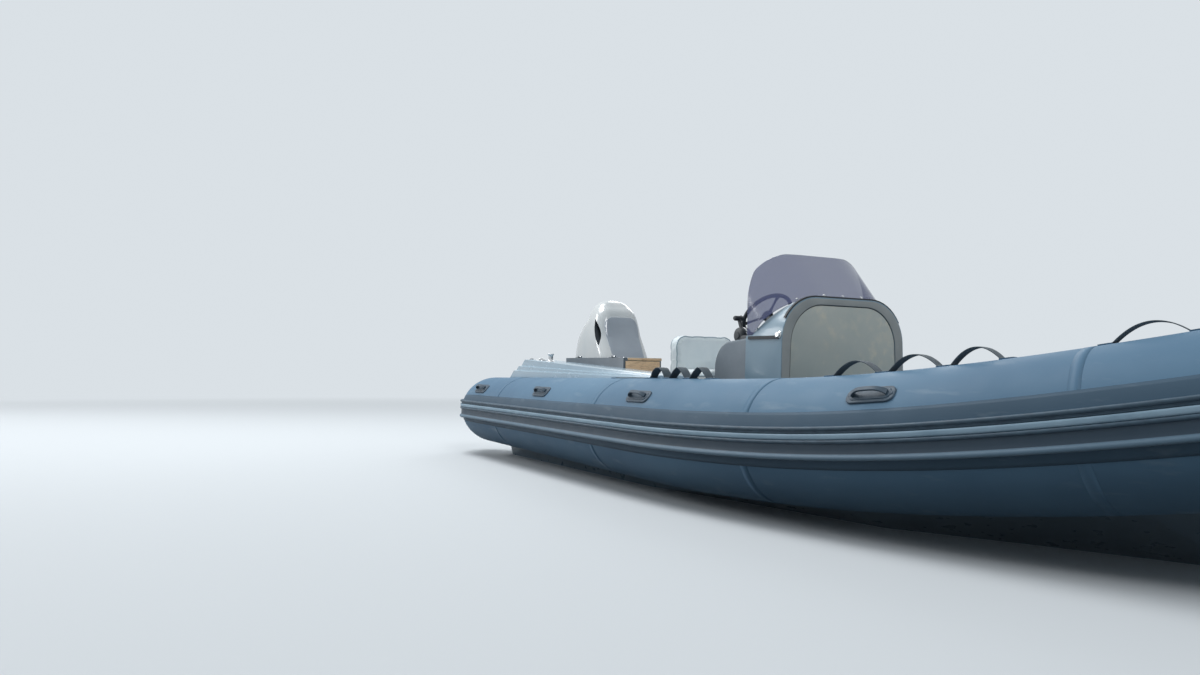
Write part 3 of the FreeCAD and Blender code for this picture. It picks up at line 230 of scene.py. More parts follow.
# Side tubes: coated fabric glued up from panels and pumped tight. Each runs straight from a tapered stern
# cone, then turns in and up to the bow. A tape covers every joint, and a wide band backs the rubbing
# strake.
TUBE_RADIUS, STERN_RADIUS, NOSE = 0.270, 0.238, 0.090
SIDE, TUBE_Z, BEND_X, BOW_X = 1.052, 0.330, -0.200, 3.080
CONE_X, NOSE_X = -2.670, -2.980
SHEER_START, SHEER_RISE, FULLNESS = 0.095, 0.396, 1.5
CONE_RUN = CONE_X - NOSE_X
CONE_ARC = (CONE_RUN ** 2 + STERN_RADIUS ** 2 - NOSE ** 2) / (2 * (STERN_RADIUS - NOSE))
CONE_TURN = math.atan2(CONE_RUN, CONE_ARC - STERN_RADIUS)
CONE_START = CONE_X - BEND_X
NOSE_START = CONE_START - CONE_ARC * CONE_TURN
TUBE_END = NOSE_START - NOSE * (math.pi / 2 - CONE_TURN)


def axis_point(x):
    turned_in = max(0.0, (x - BEND_X) / (BOW_X - BEND_X)) ** FULLNESS
    climb = max(0.0, (x - SHEER_START) / (BOW_X - SHEER_START))
    return Vector((x, -SIDE * math.sqrt(max(0.0, 1 - turned_in)), TUBE_Z + SHEER_RISE * climb ** 2))


class ArcSpan:
    """One arc of the tube's axis: the frame it starts from and the turn it makes."""

    def __init__(self, point, tangent, outward, end):
        chord = end - point
        self.point, self.tangent, self.outward = point, tangent, outward
        self.axis = tangent.cross(chord).normalized()
        self.radius = chord.dot(chord) / (2 * chord.dot(self.axis.cross(tangent).normalized()))
        self.centre = point + self.axis.cross(tangent).normalized() * self.radius
        self.angle = 2 * tangent.angle(chord)

    def at(self, angle):
        turn = Quaternion(self.axis, angle)
        return self.centre + turn @ (self.point - self.centre), turn @ self.tangent, turn @ self.outward


def meeting(start, start_way, end, end_way):
    """Where two arcs that touch both ends' directions meet."""
    gap, both = end - start, start_way + end_way
    spread = 2 * (1 - start_way.dot(end_way))
    reach = (math.sqrt(gap.dot(both) ** 2 + spread * gap.dot(gap)) - gap.dot(both)) / spread
    return (start + end + (start_way - end_way) * reach) / 2


spans = []
spot, way, outward = axis_point(BEND_X), Vector((1, 0, 0)), Vector((0, -1, 0))
for share in (0.45, 0.8, 1.0):
    x = BEND_X + share * (BOW_X - BEND_X)
    goal_way = (axis_point(x + 0.001) - axis_point(x - 0.001)).normalized()
    if share == 1.0:
        goal_way = Vector((0, 1, 0))
    for stop in (meeting(spot, way, axis_point(x), goal_way), axis_point(x)):
        spans.append(ArcSpan(spot, way, outward, stop))
        spot, way, outward = spans[-1].at(spans[-1].angle)
BOW_END = sum(span.radius * span.angle for span in spans)


def bow_frame(length):
    """Point, direction and outward side of the tube's axis, at a length forward of where its bend starts."""
    for span in spans:
        run = span.radius * span.angle
        if length <= run + 1e-6:
            return span.at(length / span.radius)
        length -= run
    return spans[-1].at(spans[-1].angle)


def stern_profile(length):
    """Place along X, radius and lean of the skin, at a length aft of where the tube starts to bend."""
    if length >= CONE_START:
        slope = (TUBE_RADIUS - STERN_RADIUS) / -CONE_START
        return BEND_X + length, TUBE_RADIUS + length * slope, math.atan(slope)
    lean = (CONE_START - length) / CONE_ARC
    if lean <= CONE_TURN:
        return CONE_X - math.sin(lean) * CONE_ARC, STERN_RADIUS - CONE_ARC + math.cos(lean) * CONE_ARC, lean
    lean = CONE_TURN + (NOSE_START - length) / NOSE
    return NOSE_X - math.sin(lean) * NOSE, math.cos(lean) * NOSE, lean


def on_tube(length, rise, lift):
    """A point on the starboard skin: length along, rise as an arc from its outer side, lift off the skin."""
    angle = rise / TUBE_RADIUS
    if length >= 0:
        centre, along, out = bow_frame(length)
        return centre + (out * math.cos(angle) + out.cross(along) * math.sin(angle)) * (TUBE_RADIUS + lift)
    x, radius, lean = stern_profile(length)
    reach = radius + lift * math.cos(lean)
    return Vector((x - lift * math.sin(lean), -SIDE - math.cos(angle) * reach,
                   TUBE_Z + math.sin(angle) * reach))


def thickened(sheet, way):
    """Makes a flat sheet into a slab, by carrying its faces one way."""
    moved = bmesh.ops.extrude_face_region(sheet, geom=sheet.faces[:])["geom"]
    bmesh.ops.translate(sheet, verts=[part for part in moved if isinstance(part, bmesh.types.BMVert)],
                        vec=way)


def grid(x_range, y_range, cells, thickness=0.0):
    """A flat sheet of cells, or with a thickness a flat slab."""
    sheet = bmesh.new()
    size = Matrix.Diagonal((x_range[1] - x_range[0], y_range[1] - y_range[0], 1, 1))
    middle = Matrix.Translation(((x_range[0] + x_range[1]) / 2, (y_range[0] + y_range[1]) / 2, 0))
    bmesh.ops.create_grid(sheet, x_segments=cells[0], y_segments=cells[1], size=0.5, matrix=middle @ size)
    if thickness:
        thickened(sheet, (0, 0, thickness))
    return sheet


def outward(shape):
    """Turns every face of a shape outwards."""
    bmesh.ops.recalc_face_normals(shape, faces=shape.faces[:])
    return shape


def laid(sheet, place, close=False):
    """Lays a flat shape by a rule from its X, Y and Z, which its map keeps."""
    layer = sheet.loops.layers.uv.new("flat")
    for face in sheet.faces:
        for loop in face.loops:
            loop[layer].uv = loop.vert.co.xy
    for vert in sheet.verts:
        vert.co = place(*vert.co)
    if close:
        bmesh.ops.remove_doubles(sheet, verts=sheet.verts[:], dist=1e-5)
        open_edges = [edge for edge in sheet.edges if edge.is_boundary]
        if open_edges:
            bmesh.ops.holes_fill(sheet, edges=open_edges, sides=0)
    return outward(sheet)


def joined(*shapes):
    """Puts several shapes into the first, and frees the others."""
    carrier = bpy.data.meshes.new("carrier")
    for other in shapes[1:]:
        other.to_mesh(carrier)
        other.free()
        shapes[0].from_mesh(carrier)
    bpy.data.meshes.remove(carrier)
    return shapes[0]


def shaded(mesh, crease=None):
    """Smooth all over, except where the surface turns by more than the crease, in degrees."""
    mesh.shade_smooth()
    if crease:
        mesh.set_sharp_from_angle(angle=math.radians(crease))


def made(name, shape, finish_used, body="boat", stands_for=(), crease=None):
    """Turns a shape into a piece that rides on a body and stands for its CAD nodes."""
    mesh = bpy.data.meshes.new(name)
    shape.to_mesh(mesh)
    shape.free()
    for item in finish_used if isinstance(finish_used, (list, tuple)) else [finish_used]:
        mesh.materials.append(item)
    shaded(mesh, crease)
    piece = placed(name, mesh)
    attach(piece, body)
    if stands_for:
        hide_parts(*stands_for)
    return piece


def both_sides(name, shape, finish_used, body="boat", stands_for=(), crease=None):
    """Makes the starboard piece, and the port one as its mirror image. A * in a name stands for the side."""
    port = shape.copy()
    bmesh.ops.scale(port, vec=(1, -1, 1), verts=port.verts[:])
    bmesh.ops.reverse_faces(port, faces=port.faces[:])
    return [made(name + "_" + side, half, finish_used, body.replace("*", side),
                 [node.replace("*", side) for node in stands_for], crease)
            for side, half in (("starboard", shape), ("port", port))]


def fabric(name, pale, deep):
    """Coated fabric: matt, with a fine weave under the skin, scuffs, runs of dried salt and dull patches."""
    material = weathered(name, pale, deep, 1.3, 1400, 0.00012, (0.48, 0.66), Specular_IOR_Level=0.25)
    place = object_place(material)
    cloud = place.noise(1.3, 5.0).between(0.3, 0.7).tint(deep, pale)
    salt = place.noise(9, 6.0, (0.5, 0.5, 2.2)).between(0.60, 0.80) * 0.22
    dusted = salt.tint(cloud, (176, 190, 198))
    scuff = place.noise(38, 7.0, (1, 1, 5)).between(0.68, 0.74) * 0.35
    scuff.tint(dusted, deep).into(material, "Base Color")
    return material


tube_skin = fabric("tube_skin", (92, 126, 152), (78, 110, 136))
tube_tape = fabric("tube_tape", (84, 116, 141), (71, 102, 127))
GIRTH = math.pi * TUBE_RADIUS
skin = grid((0, 1), (-GIRTH, GIRTH), (200, 96))
STERN_FINENESS = 1.25
for vert in skin.verts:
    vert.co.x = TUBE_END + (BOW_END - TUBE_END) * vert.co.x ** STERN_FINENESS
both_sides("tube_skin", laid(skin, on_tube, True), tube_skin, stands_for=["tube_*"])
JOINTS = (-1.905, -0.46, 0.78, 2.10)
TAPE_HALF, TAPE = 0.019, 0.0008
for index, joint in enumerate(JOINTS):
    tape = laid(grid((joint - TAPE_HALF, joint + TAPE_HALF), (-GIRTH, GIRTH), (2, 96), TAPE), on_tube, True)
    both_sides("joint_tape_%d" % index, tape, tube_skin)
BACKING_LOW, BACKING_HIGH = -0.098, 0.130
# The backing band is its own darker fabric, and its tone also carries painted shade of the tube's side.
shaded_backing_fabric = fabric("shaded_backing_fabric", (66, 90, 109), (54, 77, 95))
backing = grid((NOSE_START + 0.15, BOW_END), (BACKING_LOW, BACKING_HIGH), (150, 16), TAPE * 1.8)
both_sides("strake_backing", laid(backing, on_tube, True), shaded_backing_fabric)


# Inflation valves: a black screw cap in a moulded ring, let into the inboard shoulder of each chamber.
def turned(profile, steps=32):
    """A lathe-turned shape about Z, from (radius, height) pairs that start and end on the axis."""
    shape = bmesh.new()
    points = [shape.verts.new((radius, 0, height)) for radius, height in profile]
    lines = [shape.edges.new(ends) for ends in zip(points, points[1:])]
    bmesh.ops.spin(shape, geom=points + lines, cent=(0, 0, 0), axis=(0, 0, 1), angle=2 * math.pi, steps=steps,
                   use_merge=True)
    bmesh.ops.remove_doubles(shape, verts=shape.verts[:], dist=1e-6)
    return outward(shape)


def set_at(shape, origin, along, out):
    """Moves a shape so that its Z points out and its X runs as near along as it can."""
    out = Vector(out).normalized()
    along = (Vector(along) - out * Vector(along).dot(out)).normalized()
    basis = Matrix((along, out.cross(along), out)).transposed().to_4x4()
    bmesh.ops.transform(shape, matrix=Matrix.Translation(origin) @ basis, verts=shape.verts[:])
    return shape


def tube_stand(length, rise):
    """Point, direction along and direction out at a place on the starboard skin."""
    foot = on_tube(length, rise, 0)
    return foot, on_tube(length + 0.01, rise, 0) - foot, on_tube(length, rise, 0.01) - foot


black_rubber = weathered("black_rubber", (46, 50, 54), (36, 40, 44), 9, 900, 0.0001, (0.5, 0.7))
VALVE_STATIONS, VALVE_RISE = (-1.15, 0.2, 0.95, 2.2), TUBE_RADIUS * math.radians(128)
valves = [set_at(turned([(0, -0.01), (0.034, -0.01), (0.034, 0.003), (0.031, 0.005), (0.026, 0.005),
                         (0.025, 0.003), (0.0235, 0.003), (0.023, 0.009), (0.020, 0.011), (0, 0.0115)]),
                 *tube_stand(length, VALVE_RISE)) for length in VALVE_STATIONS]
both_sides("valves", joined(*valves), black_rubber, crease=35)


# Rubbing strake: a rubber extrusion glued round the tube's side and the end of its cone, with rounded ribs
# and a softer pale strip set in the groove between the upper two.
STRAKE_END = NOSE_START - NOSE * (math.pi / 2 - CONE_TURN + math.radians(70))
DEEP = -0.06
STRAKE_EDGE = [(0.069, DEEP), (0.0692, 0.004), (0.068, 0.011), (0.0645, 0.0148), (0.0585, 0.0148),
               (0.0540, 0.012), (0.0520, 0.0065), (0.0475, 0.0055), (0.0435, 0.0055), (0.0420, 0.003),
               (0.0172, 0.003), (0.0170, 0.012), (0.0140, 0.0152), (0.0080, 0.0152), (0.0040, 0.0125),
               (0.0015, 0.007), (-0.004, 0.006), (-0.020, 0.0065), (-0.034, 0.006), (-0.0385, 0.0078),
               (-0.041, 0.0142), (-0.0455, 0.0178), (-0.0545, 0.0178), (-0.0590, 0.0145), (-0.060, 0.008),
               (-0.060, DEEP)]
STRIP_EDGE = [(0.0408, 0.002), (0.0408, 0.0100), (0.0390, 0.0124), (0.0340, 0.0132), (0.0250, 0.0132),
              (0.0200, 0.0124), (0.0182, 0.0100), (0.0182, 0.002)]


def along_side(length, height, lift):
    """A point on the strake's line: height above the axis, and lift outwards from the tube's widest line."""
    if length >= 0:
        centre, along, out = bow_frame(length)
        return centre + out * (TUBE_RADIUS + lift) + out.cross(along) * height
    x, radius, lean = stern_profile(length)
    return Vector((x - lift * math.sin(lean), -SIDE - radius - lift * math.cos(lean), TUBE_Z + height))


def extruded(edge, start):
    """Carries a section, its corners given as height and lift, along the side from start to the bow."""
    corners = edge + edge[:1]
    band = grid((0, 1), (0, len(edge)), (230, len(edge)))

    def rule(x, y, z):
        height, lift = corners[round(y)]
        return along_side(start + (BOW_END - start) * x ** STERN_FINENESS, height, lift)
    return laid(band, rule, True)


strake_rubber = weathered("strake_rubber", (60, 84, 101), (50, 71, 87), 3, 500, 0.00015, (0.45, 0.65))
tree = strake_rubber.node_tree
row = Field(tree, tree.nodes.new("ShaderNodeUVMap").outputs[0]).part("Y")
grime = object_place(strake_rubber).noise(22, 6.0, (1, 1, 4)).between(0.35, 0.65)
# Painted light: the lower bead is tinted lighter as a painted highlight, and the flat web above it darker as
# painted shade.
bead_highlight_mask = (row > 18.5) * (row < 23.5)
web_shade_mask = (row > 14.5) * (row < 18.5)
body_tone = grime.tint((48, 69, 85), (63, 87, 104))
bead_highlighted = bead_highlight_mask.tint(body_tone, (84, 110, 129))
web_shade_mask.tint(bead_highlighted, (40, 60, 76)).into(strake_rubber, "Base Color")
both_sides("strake", extruded(STRAKE_EDGE, STRAKE_END), strake_rubber,
           stands_for=["strake_*"], crease=50)
strake_strip = weathered("strake_strip", (146, 174, 193), (122, 151, 171), 7, 700, 0.0001, (0.4, 0.6))
both_sides("strake_strip", extruded(STRIP_EDGE, STRAKE_END + 0.004), strake_strip,
           stands_for=["strake_insert_*"], crease=50)


# Lifting handles: each one rubber moulding, a flanged pad glued to the tube with a stiff grip arched over it.
def eased(shape, edges, width, segments=2):
    """Rounds edges off."""
    bmesh.ops.bevel(shape, geom=edges, offset=width, offset_type="OFFSET", segments=segments, profile=0.5,
                    affect="EDGES", material=-1)


def block(size, at=(0, 0, 0), corner=0.0, edge=0.0, steps=4):
    """A rectangular block on the point at, its upright corners rounded and its top edges eased."""
    shape = bmesh.new()
    bmesh.ops.create_cube(shape, size=1, matrix=Matrix.Translation(Vector(at) + Vector((0, 0, size[2] / 2)))
                          @ Matrix.Diagonal((*size, 1)))
    if corner:
        upright = [e for e in shape.edges if abs(e.verts[0].co.z - e.verts[1].co.z) > size[2] / 2]
        eased(shape, upright, corner, steps)
    if edge:
        top = at[2] + size[2] - 1e-5
        rim = [e for e in shape.edges if min(v.co.z for v in e.verts) > top]
        eased(shape, rim, edge, 3)
    return shape


PAD, GRIP_HALF, GRIP_RISE, BOSS_OUT = (0.208, 0.074, 0.024), 0.074, 0.0255, 0.088
handle_rubber = weathered("handle_rubber", (62, 82, 98), (44, 62, 77), 12, 650, 0.0002, (0.45, 0.7))


def handle_shape():
    pad = block(PAD, (0, 0, -0.018), 0.031, 0.0035, 6)
    ridge = block((0.176, 0.050, 0.004), (0, 0, 0.005), 0.020, 0.002, 5)

    def arched(x, y, z):
        share = min(1.0, abs(x) / GRIP_HALF)
        waist = 0.75 + 0.25 * share ** 4
        return Vector((x * (1 + 0.18 * z / 0.04 * share), y * waist,
                       0.008 + z + GRIP_RISE * (1 - share ** 3.4)))
    grip = laid(grid((-GRIP_HALF, GRIP_HALF), (-0.0125, 0.0125), (26, 4), 0.0085), arched)
    eased(grip, [e for e in grip.edges if len(e.link_faces) == 2 and e.calc_face_angle() > 1.2], 0.0022)
    bosses = [set_at(turned([(0, 0.002), (0.0085, 0.002), (0.0085, 0.0105), (0.007, 0.0115),
                             (0, 0.0115)], 20), (x, 0, -0.003), (1, 0, 0), (0, 0, 1))
              for x in (-BOSS_OUT, BOSS_OUT)]
    return joined(pad, ridge, grip, *bosses)


HANDLE_STATIONS = (-2.290, -1.230, -0.030, 1.381, 2.650)
HANDLE_RISE = TUBE_RADIUS * math.radians(41)
grips = [set_at(handle_shape(), *tube_stand(length, HANDLE_RISE)) for length in HANDLE_STATIONS]
both_sides("lifting_handles", joined(*grips), handle_rubber, stands_for=["handles_*"],
           crease=40)


# Lifeline: flat woven webbing along the crown of each tube, stood up in loops between stitched fabric
# patches. The loops by the helm are pinched to a ridge, the forward ones stand in a round bow.
# Columns: middle of the loop, its chord, its height, and how round it stands.
LOOPS = ((-0.152, 0.164, 0.056, 2.3), (0.035, 0.164, 0.056, 1.5), (0.216, 0.162, 0.056, 1.5),
         (1.181, 0.232, 0.055, 2.0), (1.447, 0.232, 0.057, 2.0), (1.699, 0.210, 0.056, 2.0),
         (2.270, 0.240, 0.052, 2.0), (2.620, 0.240, 0.052, 2.0))
WEB_HALF, WEB_THICK, FOOT, CROWN = 0.0225, 0.003, 0.011, GIRTH / 2
STRAP = (-0.600, -0.238)


def webbing_band(length, chord, height, roundness):
    reach = chord / 2 - FOOT

    def rule(x, y, z):
        share = min(1.0, abs(x) / reach)
        lean = 0.10 * height * (1 - share ** 2)
        return on_tube(length + x + lean, CROWN + y,
                       0.0006 + z + (height - WEB_THICK) * (1 - share ** roundness))
    return laid(grid((-chord / 2, chord / 2), (-WEB_HALF, WEB_HALF), (36, 4), WEB_THICK), rule)


webbing = finish("webbing", (52, 66, 76), 0.8, Sheen_Weight=0.25)
tree = webbing.node_tree
flat_place = Field(tree, tree.nodes.new("ShaderNodeUVMap").outputs[0])
rib_across, rib_along = flat_place.part("X").wave(0.0016), flat_place.part("Y").wave(0.0030)
selvedge = flat_place.part("Y").maths("ABSOLUTE", flat_place.part("Y")) > WEB_HALF - 0.0035
faded = object_place(webbing).noise(30, 5.0).between(0.3, 0.7)
shade = faded * 0.6 + rib_across * 0.25 + selvedge * 0.15
shade.tint((40, 53, 62), (70, 86, 97)).into(webbing, "Base Color")
(rib_across * 0.6 + rib_along * 0.4).relief(webbing, 0.0004)
bands = [webbing_band(*loop) for loop in LOOPS]
middle, reach = (STRAP[0] + STRAP[1]) / 2, (STRAP[1] - STRAP[0]) / 2
bands.append(laid(grid((middle - reach, middle + reach), (-WEB_HALF, WEB_HALF), (24, 4), WEB_THICK),
                  lambda x, y, z: on_tube(x, CROWN + y, 0.0006 + z)))
both_sides("lifeline_webbing", joined(*bands), webbing, stands_for=["lifeline_*"], crease=50)

ends = [(mid - chord / 2, mid + chord / 2) for mid, chord, *_ in LOOPS] + [STRAP]
PATCH_OVER, PATCH_HALF, PATCH_RISE = 0.030, 0.034, 0.0042
covers = []
for low, high in sorted([(a - PATCH_OVER, a + FOOT) for a, b in ends]
                        + [(b - FOOT, b + PATCH_OVER) for a, b in ends]):
    if covers and low < covers[-1][1]:
        low, high = covers[-1][0], max(high, covers.pop()[1])
    covers.append((low, high))
STITCH, PITCH = (0.0014, 0.0005, 0.0006), 0.0045
patches, stitches = [], []
for low, high in covers:
    patches.append(laid(grid((low, high), (-PATCH_HALF, PATCH_HALF), (6, 6), PATCH_RISE),
                        lambda x, y, z: on_tube(x, CROWN + y, z)))
    for y in (-PATCH_HALF + 0.005, PATCH_HALF - 0.005):
        for index in range(int((high - low - 0.008) / PITCH)):
            x = low + 0.004 + (index + 0.5) * PITCH
            stitch = grid((x - STITCH[0], x + STITCH[0]), (y - STITCH[1], y + STITCH[1]), (1, 1), STITCH[2])
            stitches.append(laid(stitch, lambda x, y, z: on_tube(x, CROWN + y, PATCH_RISE + z - 0.0001)))
thread = weathered("thread", (150, 166, 176), (126, 142, 153), 40, 3000, 0.0001, (0.6, 0.8))
both_sides("lifeline_patches", joined(*patches), tube_tape, crease=40)
both_sides("patch_stitching", joined(*stitches), thread)


# Hull: a moulded deep V with its inner deck, its edges eased by the mould, under polished gelcoat whose
# tone drifts in faint patches.
FLAT_WITHIN = math.radians(0.5)


def copied(*meshes):
    """A shape made of whole meshes."""
    shape = bmesh.new()
    for mesh in meshes:
        shape.from_mesh(mesh)
    return shape


def softened(name, node_names, finish_used, edge, body="boat", crease=30, segments=2):
    """A copy of CAD solids with their sharp edges rounded, which stands for them."""
    shape = copied(*[nodes[node].data for node in node_names])
    bmesh.ops.remove_doubles(shape, verts=shape.verts[:], dist=2e-5)
    bmesh.ops.dissolve_limit(shape, angle_limit=FLAT_WITHIN, verts=shape.verts[:], edges=shape.edges[:],
                             use_dissolve_boundaries=False, delimit=set())
    piece = made(name, shape, finish_used, body, node_names)
    rounding = piece.modifiers.new("rounding", "BEVEL")
    rounding.width, rounding.segments = edge, segments
    rounding.limit_method, rounding.angle_limit = "ANGLE", math.radians(crease)
    rounding.harden_normals = True
    rounding.use_clamp_overlap = True
    return piece


gelcoat = weathered("gelcoat", (158, 182, 197), (143, 167, 183), 1.6, 60, 0.00012, (0.16, 0.34),
                    Coat_Weight=0.3)
hull_coat = weathered("hull_coat", (128, 149, 165), (108, 130, 147), 2.2, 60, 0.00012, (0.2, 0.4),
                      Coat_Weight=0.3)
softened("hull_moulding", ["hull"], hull_coat, 0.006)
softened("transom_board", ["transom"], gelcoat, 0.006)
sole = finish("sole", (112, 120, 126), 0.85)
place = object_place(sole)
PLANK, CAULKING = 0.060, 0.07
plank = (place.part("Y") + PLANK / 2).wave(PLANK) < CAULKING
nap = place.noise(1500, 3.0)
wear = place.noise(3, 6.0).between(0.35, 0.7)
deck_tone = wear.tint((106, 115, 122), (128, 136, 141))
plank.tint(deck_tone, (58, 66, 73)).into(sole, "Base Color")
(nap * 0.35 - plank).relief(sole, 0.0012)
softened("deck_panel", ["deck_sole"], sole, 0.003)


# Stern side mouldings: stepped fairings of gelcoated fibreglass between tube and deck, with a flared mooring
# post on each, a fuel filler to starboard and a breather beside it.
def landing(node, start, toward):
    """Where a straight line from start first meets a CAD solid, and the way its surface faces there."""
    solid = copied(nodes[node].data)
    point, normal, _, _ = BVHTree.FromBMesh(solid).ray_cast(Vector(start), Vector(toward))
    solid.free()
    return point, normal


def fitted(shape, node, start, toward, along):
    """Sets a fitting on a CAD solid, where a line from start first meets it."""
    foot, facing = landing(node, start, toward)
    return set_at(shape, foot, along, facing)


def bright(name, tone, gloss):
    """Polished metal with hairlines and water spots."""
    material = finish(name, tone, gloss, Metallic=1.0)
    place = object_place(material)
    (place.noise(160, 5.0, (1, 6, 1)) * 0.16 + gloss).into(material, "Roughness")
    stained = tuple(0.82 * part for part in tone)
    place.noise(45, 4.0).between(0.45, 0.6).tint(stained, tone).into(material, "Base Color")
    place.noise(600, 2.0, (1, 8, 1)).relief(material, 0.00003)
    return material


steel = bright("steel", (0.62, 0.63, 0.64), 0.10)
for side in ("starboard", "port"):
    softened("side_moulding_" + side, ["coaming_" + side], gelcoat, 0.007)
DOWN = (0, 0, -1)
POST, FILLER, BREATHER = (-2.09, -0.880, 1), (-2.255, -0.880, 1), (-2.385, -0.885, 1)
post = turned([(0, 0), (0.030, 0), (0.030, 0.002), (0.028, 0.004), (0.021, 0.005), (0.0175, 0.009),
               (0.016, 0.014), (0.016, 0.036), (0.0175, 0.042), (0.0225, 0.0495), (0.0232, 0.052),
               (0.0228, 0.0545), (0.0205, 0.056), (0.015, 0.0555), (0, 0.0545)], 48)
both_sides("mooring_post", fitted(post, "coaming_starboard", POST, DOWN, (1, 0, 0)), steel,
           stands_for=["mooring_posts"], crease=50)
filler = joined(turned([(0, 0), (0.036, 0), (0.036, 0.002), (0.034, 0.0045), (0.029, 0.005), (0.0285, 0.0035),
                        (0.0265, 0.0035), (0.0255, 0.009), (0.023, 0.0105), (0, 0.0105)], 48),
                block((0.038, 0.006, 0.006), (0, 0, 0.009), 0.002, 0.002))
made("fuel_filler", fitted(filler, "coaming_starboard", FILLER, DOWN, (1, 0.4, 0)), steel,
     crease=40)
breather = turned([(0, 0), (0.017, 0), (0.017, 0.004), (0.009, 0.010), (0.008, 0.030), (0.016, 0.036),
                   (0.017, 0.044), (0.012, 0.049), (0, 0.050)], 32)
made("tank_breather", fitted(breather, "coaming_starboard", BREATHER, DOWN, (1, 0, 0)), steel,
     crease=40)


# Quarter lockers: gelcoat boxes painted dark outside, a painted shade standing for the shadow on their
# outboard walls, under a pale lid with a rubber edge, steel hinges and a catch.
# The forward face is a teak board, and a teak lip closes the lid's edge above it.
# Painted shade: the boxes' dark grey stands in for the shadow on their outboard sides.
locker_shade_coat = weathered("locker_shade_coat", (92, 102, 110), (78, 88, 97), 4, 90, 0.00008, (0.3, 0.5))
teak = finish("teak", (198, 160, 120), 0.55)
place = object_place(teak)
board = place.node("Mapping", {}, {"Vector": place, "Scale": (1, 1, 12)})
warp = board.noise(3.5, 5.0, (1, 1, 0.15))
grain = board.node("TexWave", {"wave_type": "BANDS", "bands_direction": "Z"},
                   {"Vector": board, "Scale": 5.5, "Distortion": 6.0, "Detail": 4.0, "Detail Scale": 1.4}, 1)
pores = place.noise(420, 4.0, (1, 0.05, 1)).between(0.55, 0.62)
mixed = grain * 0.6 + warp * 0.4
planked = mixed.tint((222, 182, 138), (250, 224, 188))
(pores * 0.5).tint(planked, (120, 82, 52)).into(teak, "Base Color")
(mixed * 0.5 - pores).relief(teak, 0.0004)
(warp * 0.3 + 0.35).into(teak, "Roughness")
LOCKER_IN, FORE_FACE, LID_TOP = 0.455, -1.310, 0.717


def steel_past(piece, axis, level):
    """Gives the second finish, the hinge's steel, to what stands past a level."""
    for face in piece.data.polygons:
        if face.center[axis] > level:
            face.material_index = 1


for side in ("starboard", "port"):
    softened("quarter_locker_" + side, ["locker_" + side], locker_shade_coat, 0.004)
    steel_past(softened("quarter_lid_" + side, ["locker_lid_" + side], [gelcoat, steel], 0.004,
                        "locker_lid_" + side), 2, LID_TOP + 0.0005)
BOARD, LIP = (0.0080, 0.252, 0.523), (0.0075, 0.250, 0.0165)
board = block(BOARD, (FORE_FACE + 0.0042, -0.595, 0.172))
eased(board, board.edges[:], 0.0015)
both_sides("teak_board", board, teak, stands_for=["locker_panel_*"], crease=30)
lip = block(LIP, (FORE_FACE + 0.0040, -0.580, 0.699))
eased(lip, lip.edges[:], 0.001)
both_sides("teak_lip", lip, teak, "locker_lid_*", crease=30)
edging = joined(block((0.825, 0.0035, 0.018), (-1.725, -LOCKER_IN + 0.0018, 0.6985), 0, 0.0012),
                block((0.0035, 0.246, 0.0175), (-2.1417, -0.580, 0.6985), 0, 0.0012))
both_sides("lid_edging", edging, black_rubber, "locker_lid_*", crease=30)


def catch():
    """A flush lifting catch: a sunk knob in a rounded plate."""
    knob = turned([(0, 0.002), (0.014, 0.002), (0.014, 0.005), (0.012, 0.0075), (0.004, 0.008),
                   (0, 0.0065)], 28)
    return joined(block((0.052, 0.040, 0.003), (0, 0, 0), 0.010, 0.001), knob)


both_sides("lid_catch", set_at(catch(), (-1.725, -0.492, LID_TOP), (1, 0, 0), (0, 0, 1)), steel,
           "locker_lid_*", crease=35)


# Bow locker: a moulded box behind the bow, its lid hinged forward, with a rope slot and the same catch.
softened("anchor_locker", ["bow_locker"], gelcoat, 0.005)
BOW_LID_TOP = 0.520
steel_past(softened("anchor_lid", ["bow_locker_lid"], [gelcoat, steel], 0.004, "bow_locker_lid"),
           2, BOW_LID_TOP + 0.0005)
made("anchor_lid_catch", set_at(catch(), (1.990, 0, BOW_LID_TOP), (0, 1, 0), (0, 0, 1)), steel,
     "bow_locker_lid", crease=35)
tread = block((0.230, 0.400, 0.0016), (2.135, 0, 0.5198), 0.03, 0.0006, 6)
made("anchor_lid_tread", tread, sole, "bow_locker_lid", crease=30)


# Console: a fibreglass moulding, arched in front and sloping down aft to the dash. A grey-khaki frame with a
# dark rubber seal surrounds its large door, whose paint has yellowed in patches.
BULGE, ARCH_STEPS = 0.2, 12


def arch_line(foot, shoulder, top, x):
    """The console's arch, from (half width, height) pairs: straight legs and bulging shoulders."""
    start, end = Vector((0, shoulder[0], shoulder[1])), Vector((0, top[0], top[1]))
    chord = end - start
    swell = BULGE * chord.length
    radius = (chord.length ** 2 / 4 + swell ** 2) / (2 * swell)
    inward = Vector((0, -chord.z, chord.y)).normalized()
    centre = (start + end) / 2 + inward * (radius - swell)
    first = start - centre
    sweep = 2 * math.asin(min(1.0, chord.length / 2 / radius))
    corner = [centre + Quaternion((1, 0, 0), sweep * step / ARCH_STEPS) @ first
              for step in range(ARCH_STEPS + 1)]
    half = [Vector((0, *foot))] + corner
    line = half + [Vector((0, -point.y, point.z)) for point in reversed(half)]
    return [point + Vector((x, 0, 0)) for point in line]


def ring_between(outer, inner, depth):
    """A flat ring between two outlines with the same number of corners, given a depth towards +X."""
    shape = bmesh.new()
    loops = []
    for line in (outer, inner):
        corners = [shape.verts.new(point) for point in line]
        loops += [shape.edges.new(ends) for ends in zip(corners, corners[1:] + corners[:1])]
    bmesh.ops.bridge_loops(shape, edges=loops)
    thickened(shape, (depth, 0, 0))
    return outward(shape)


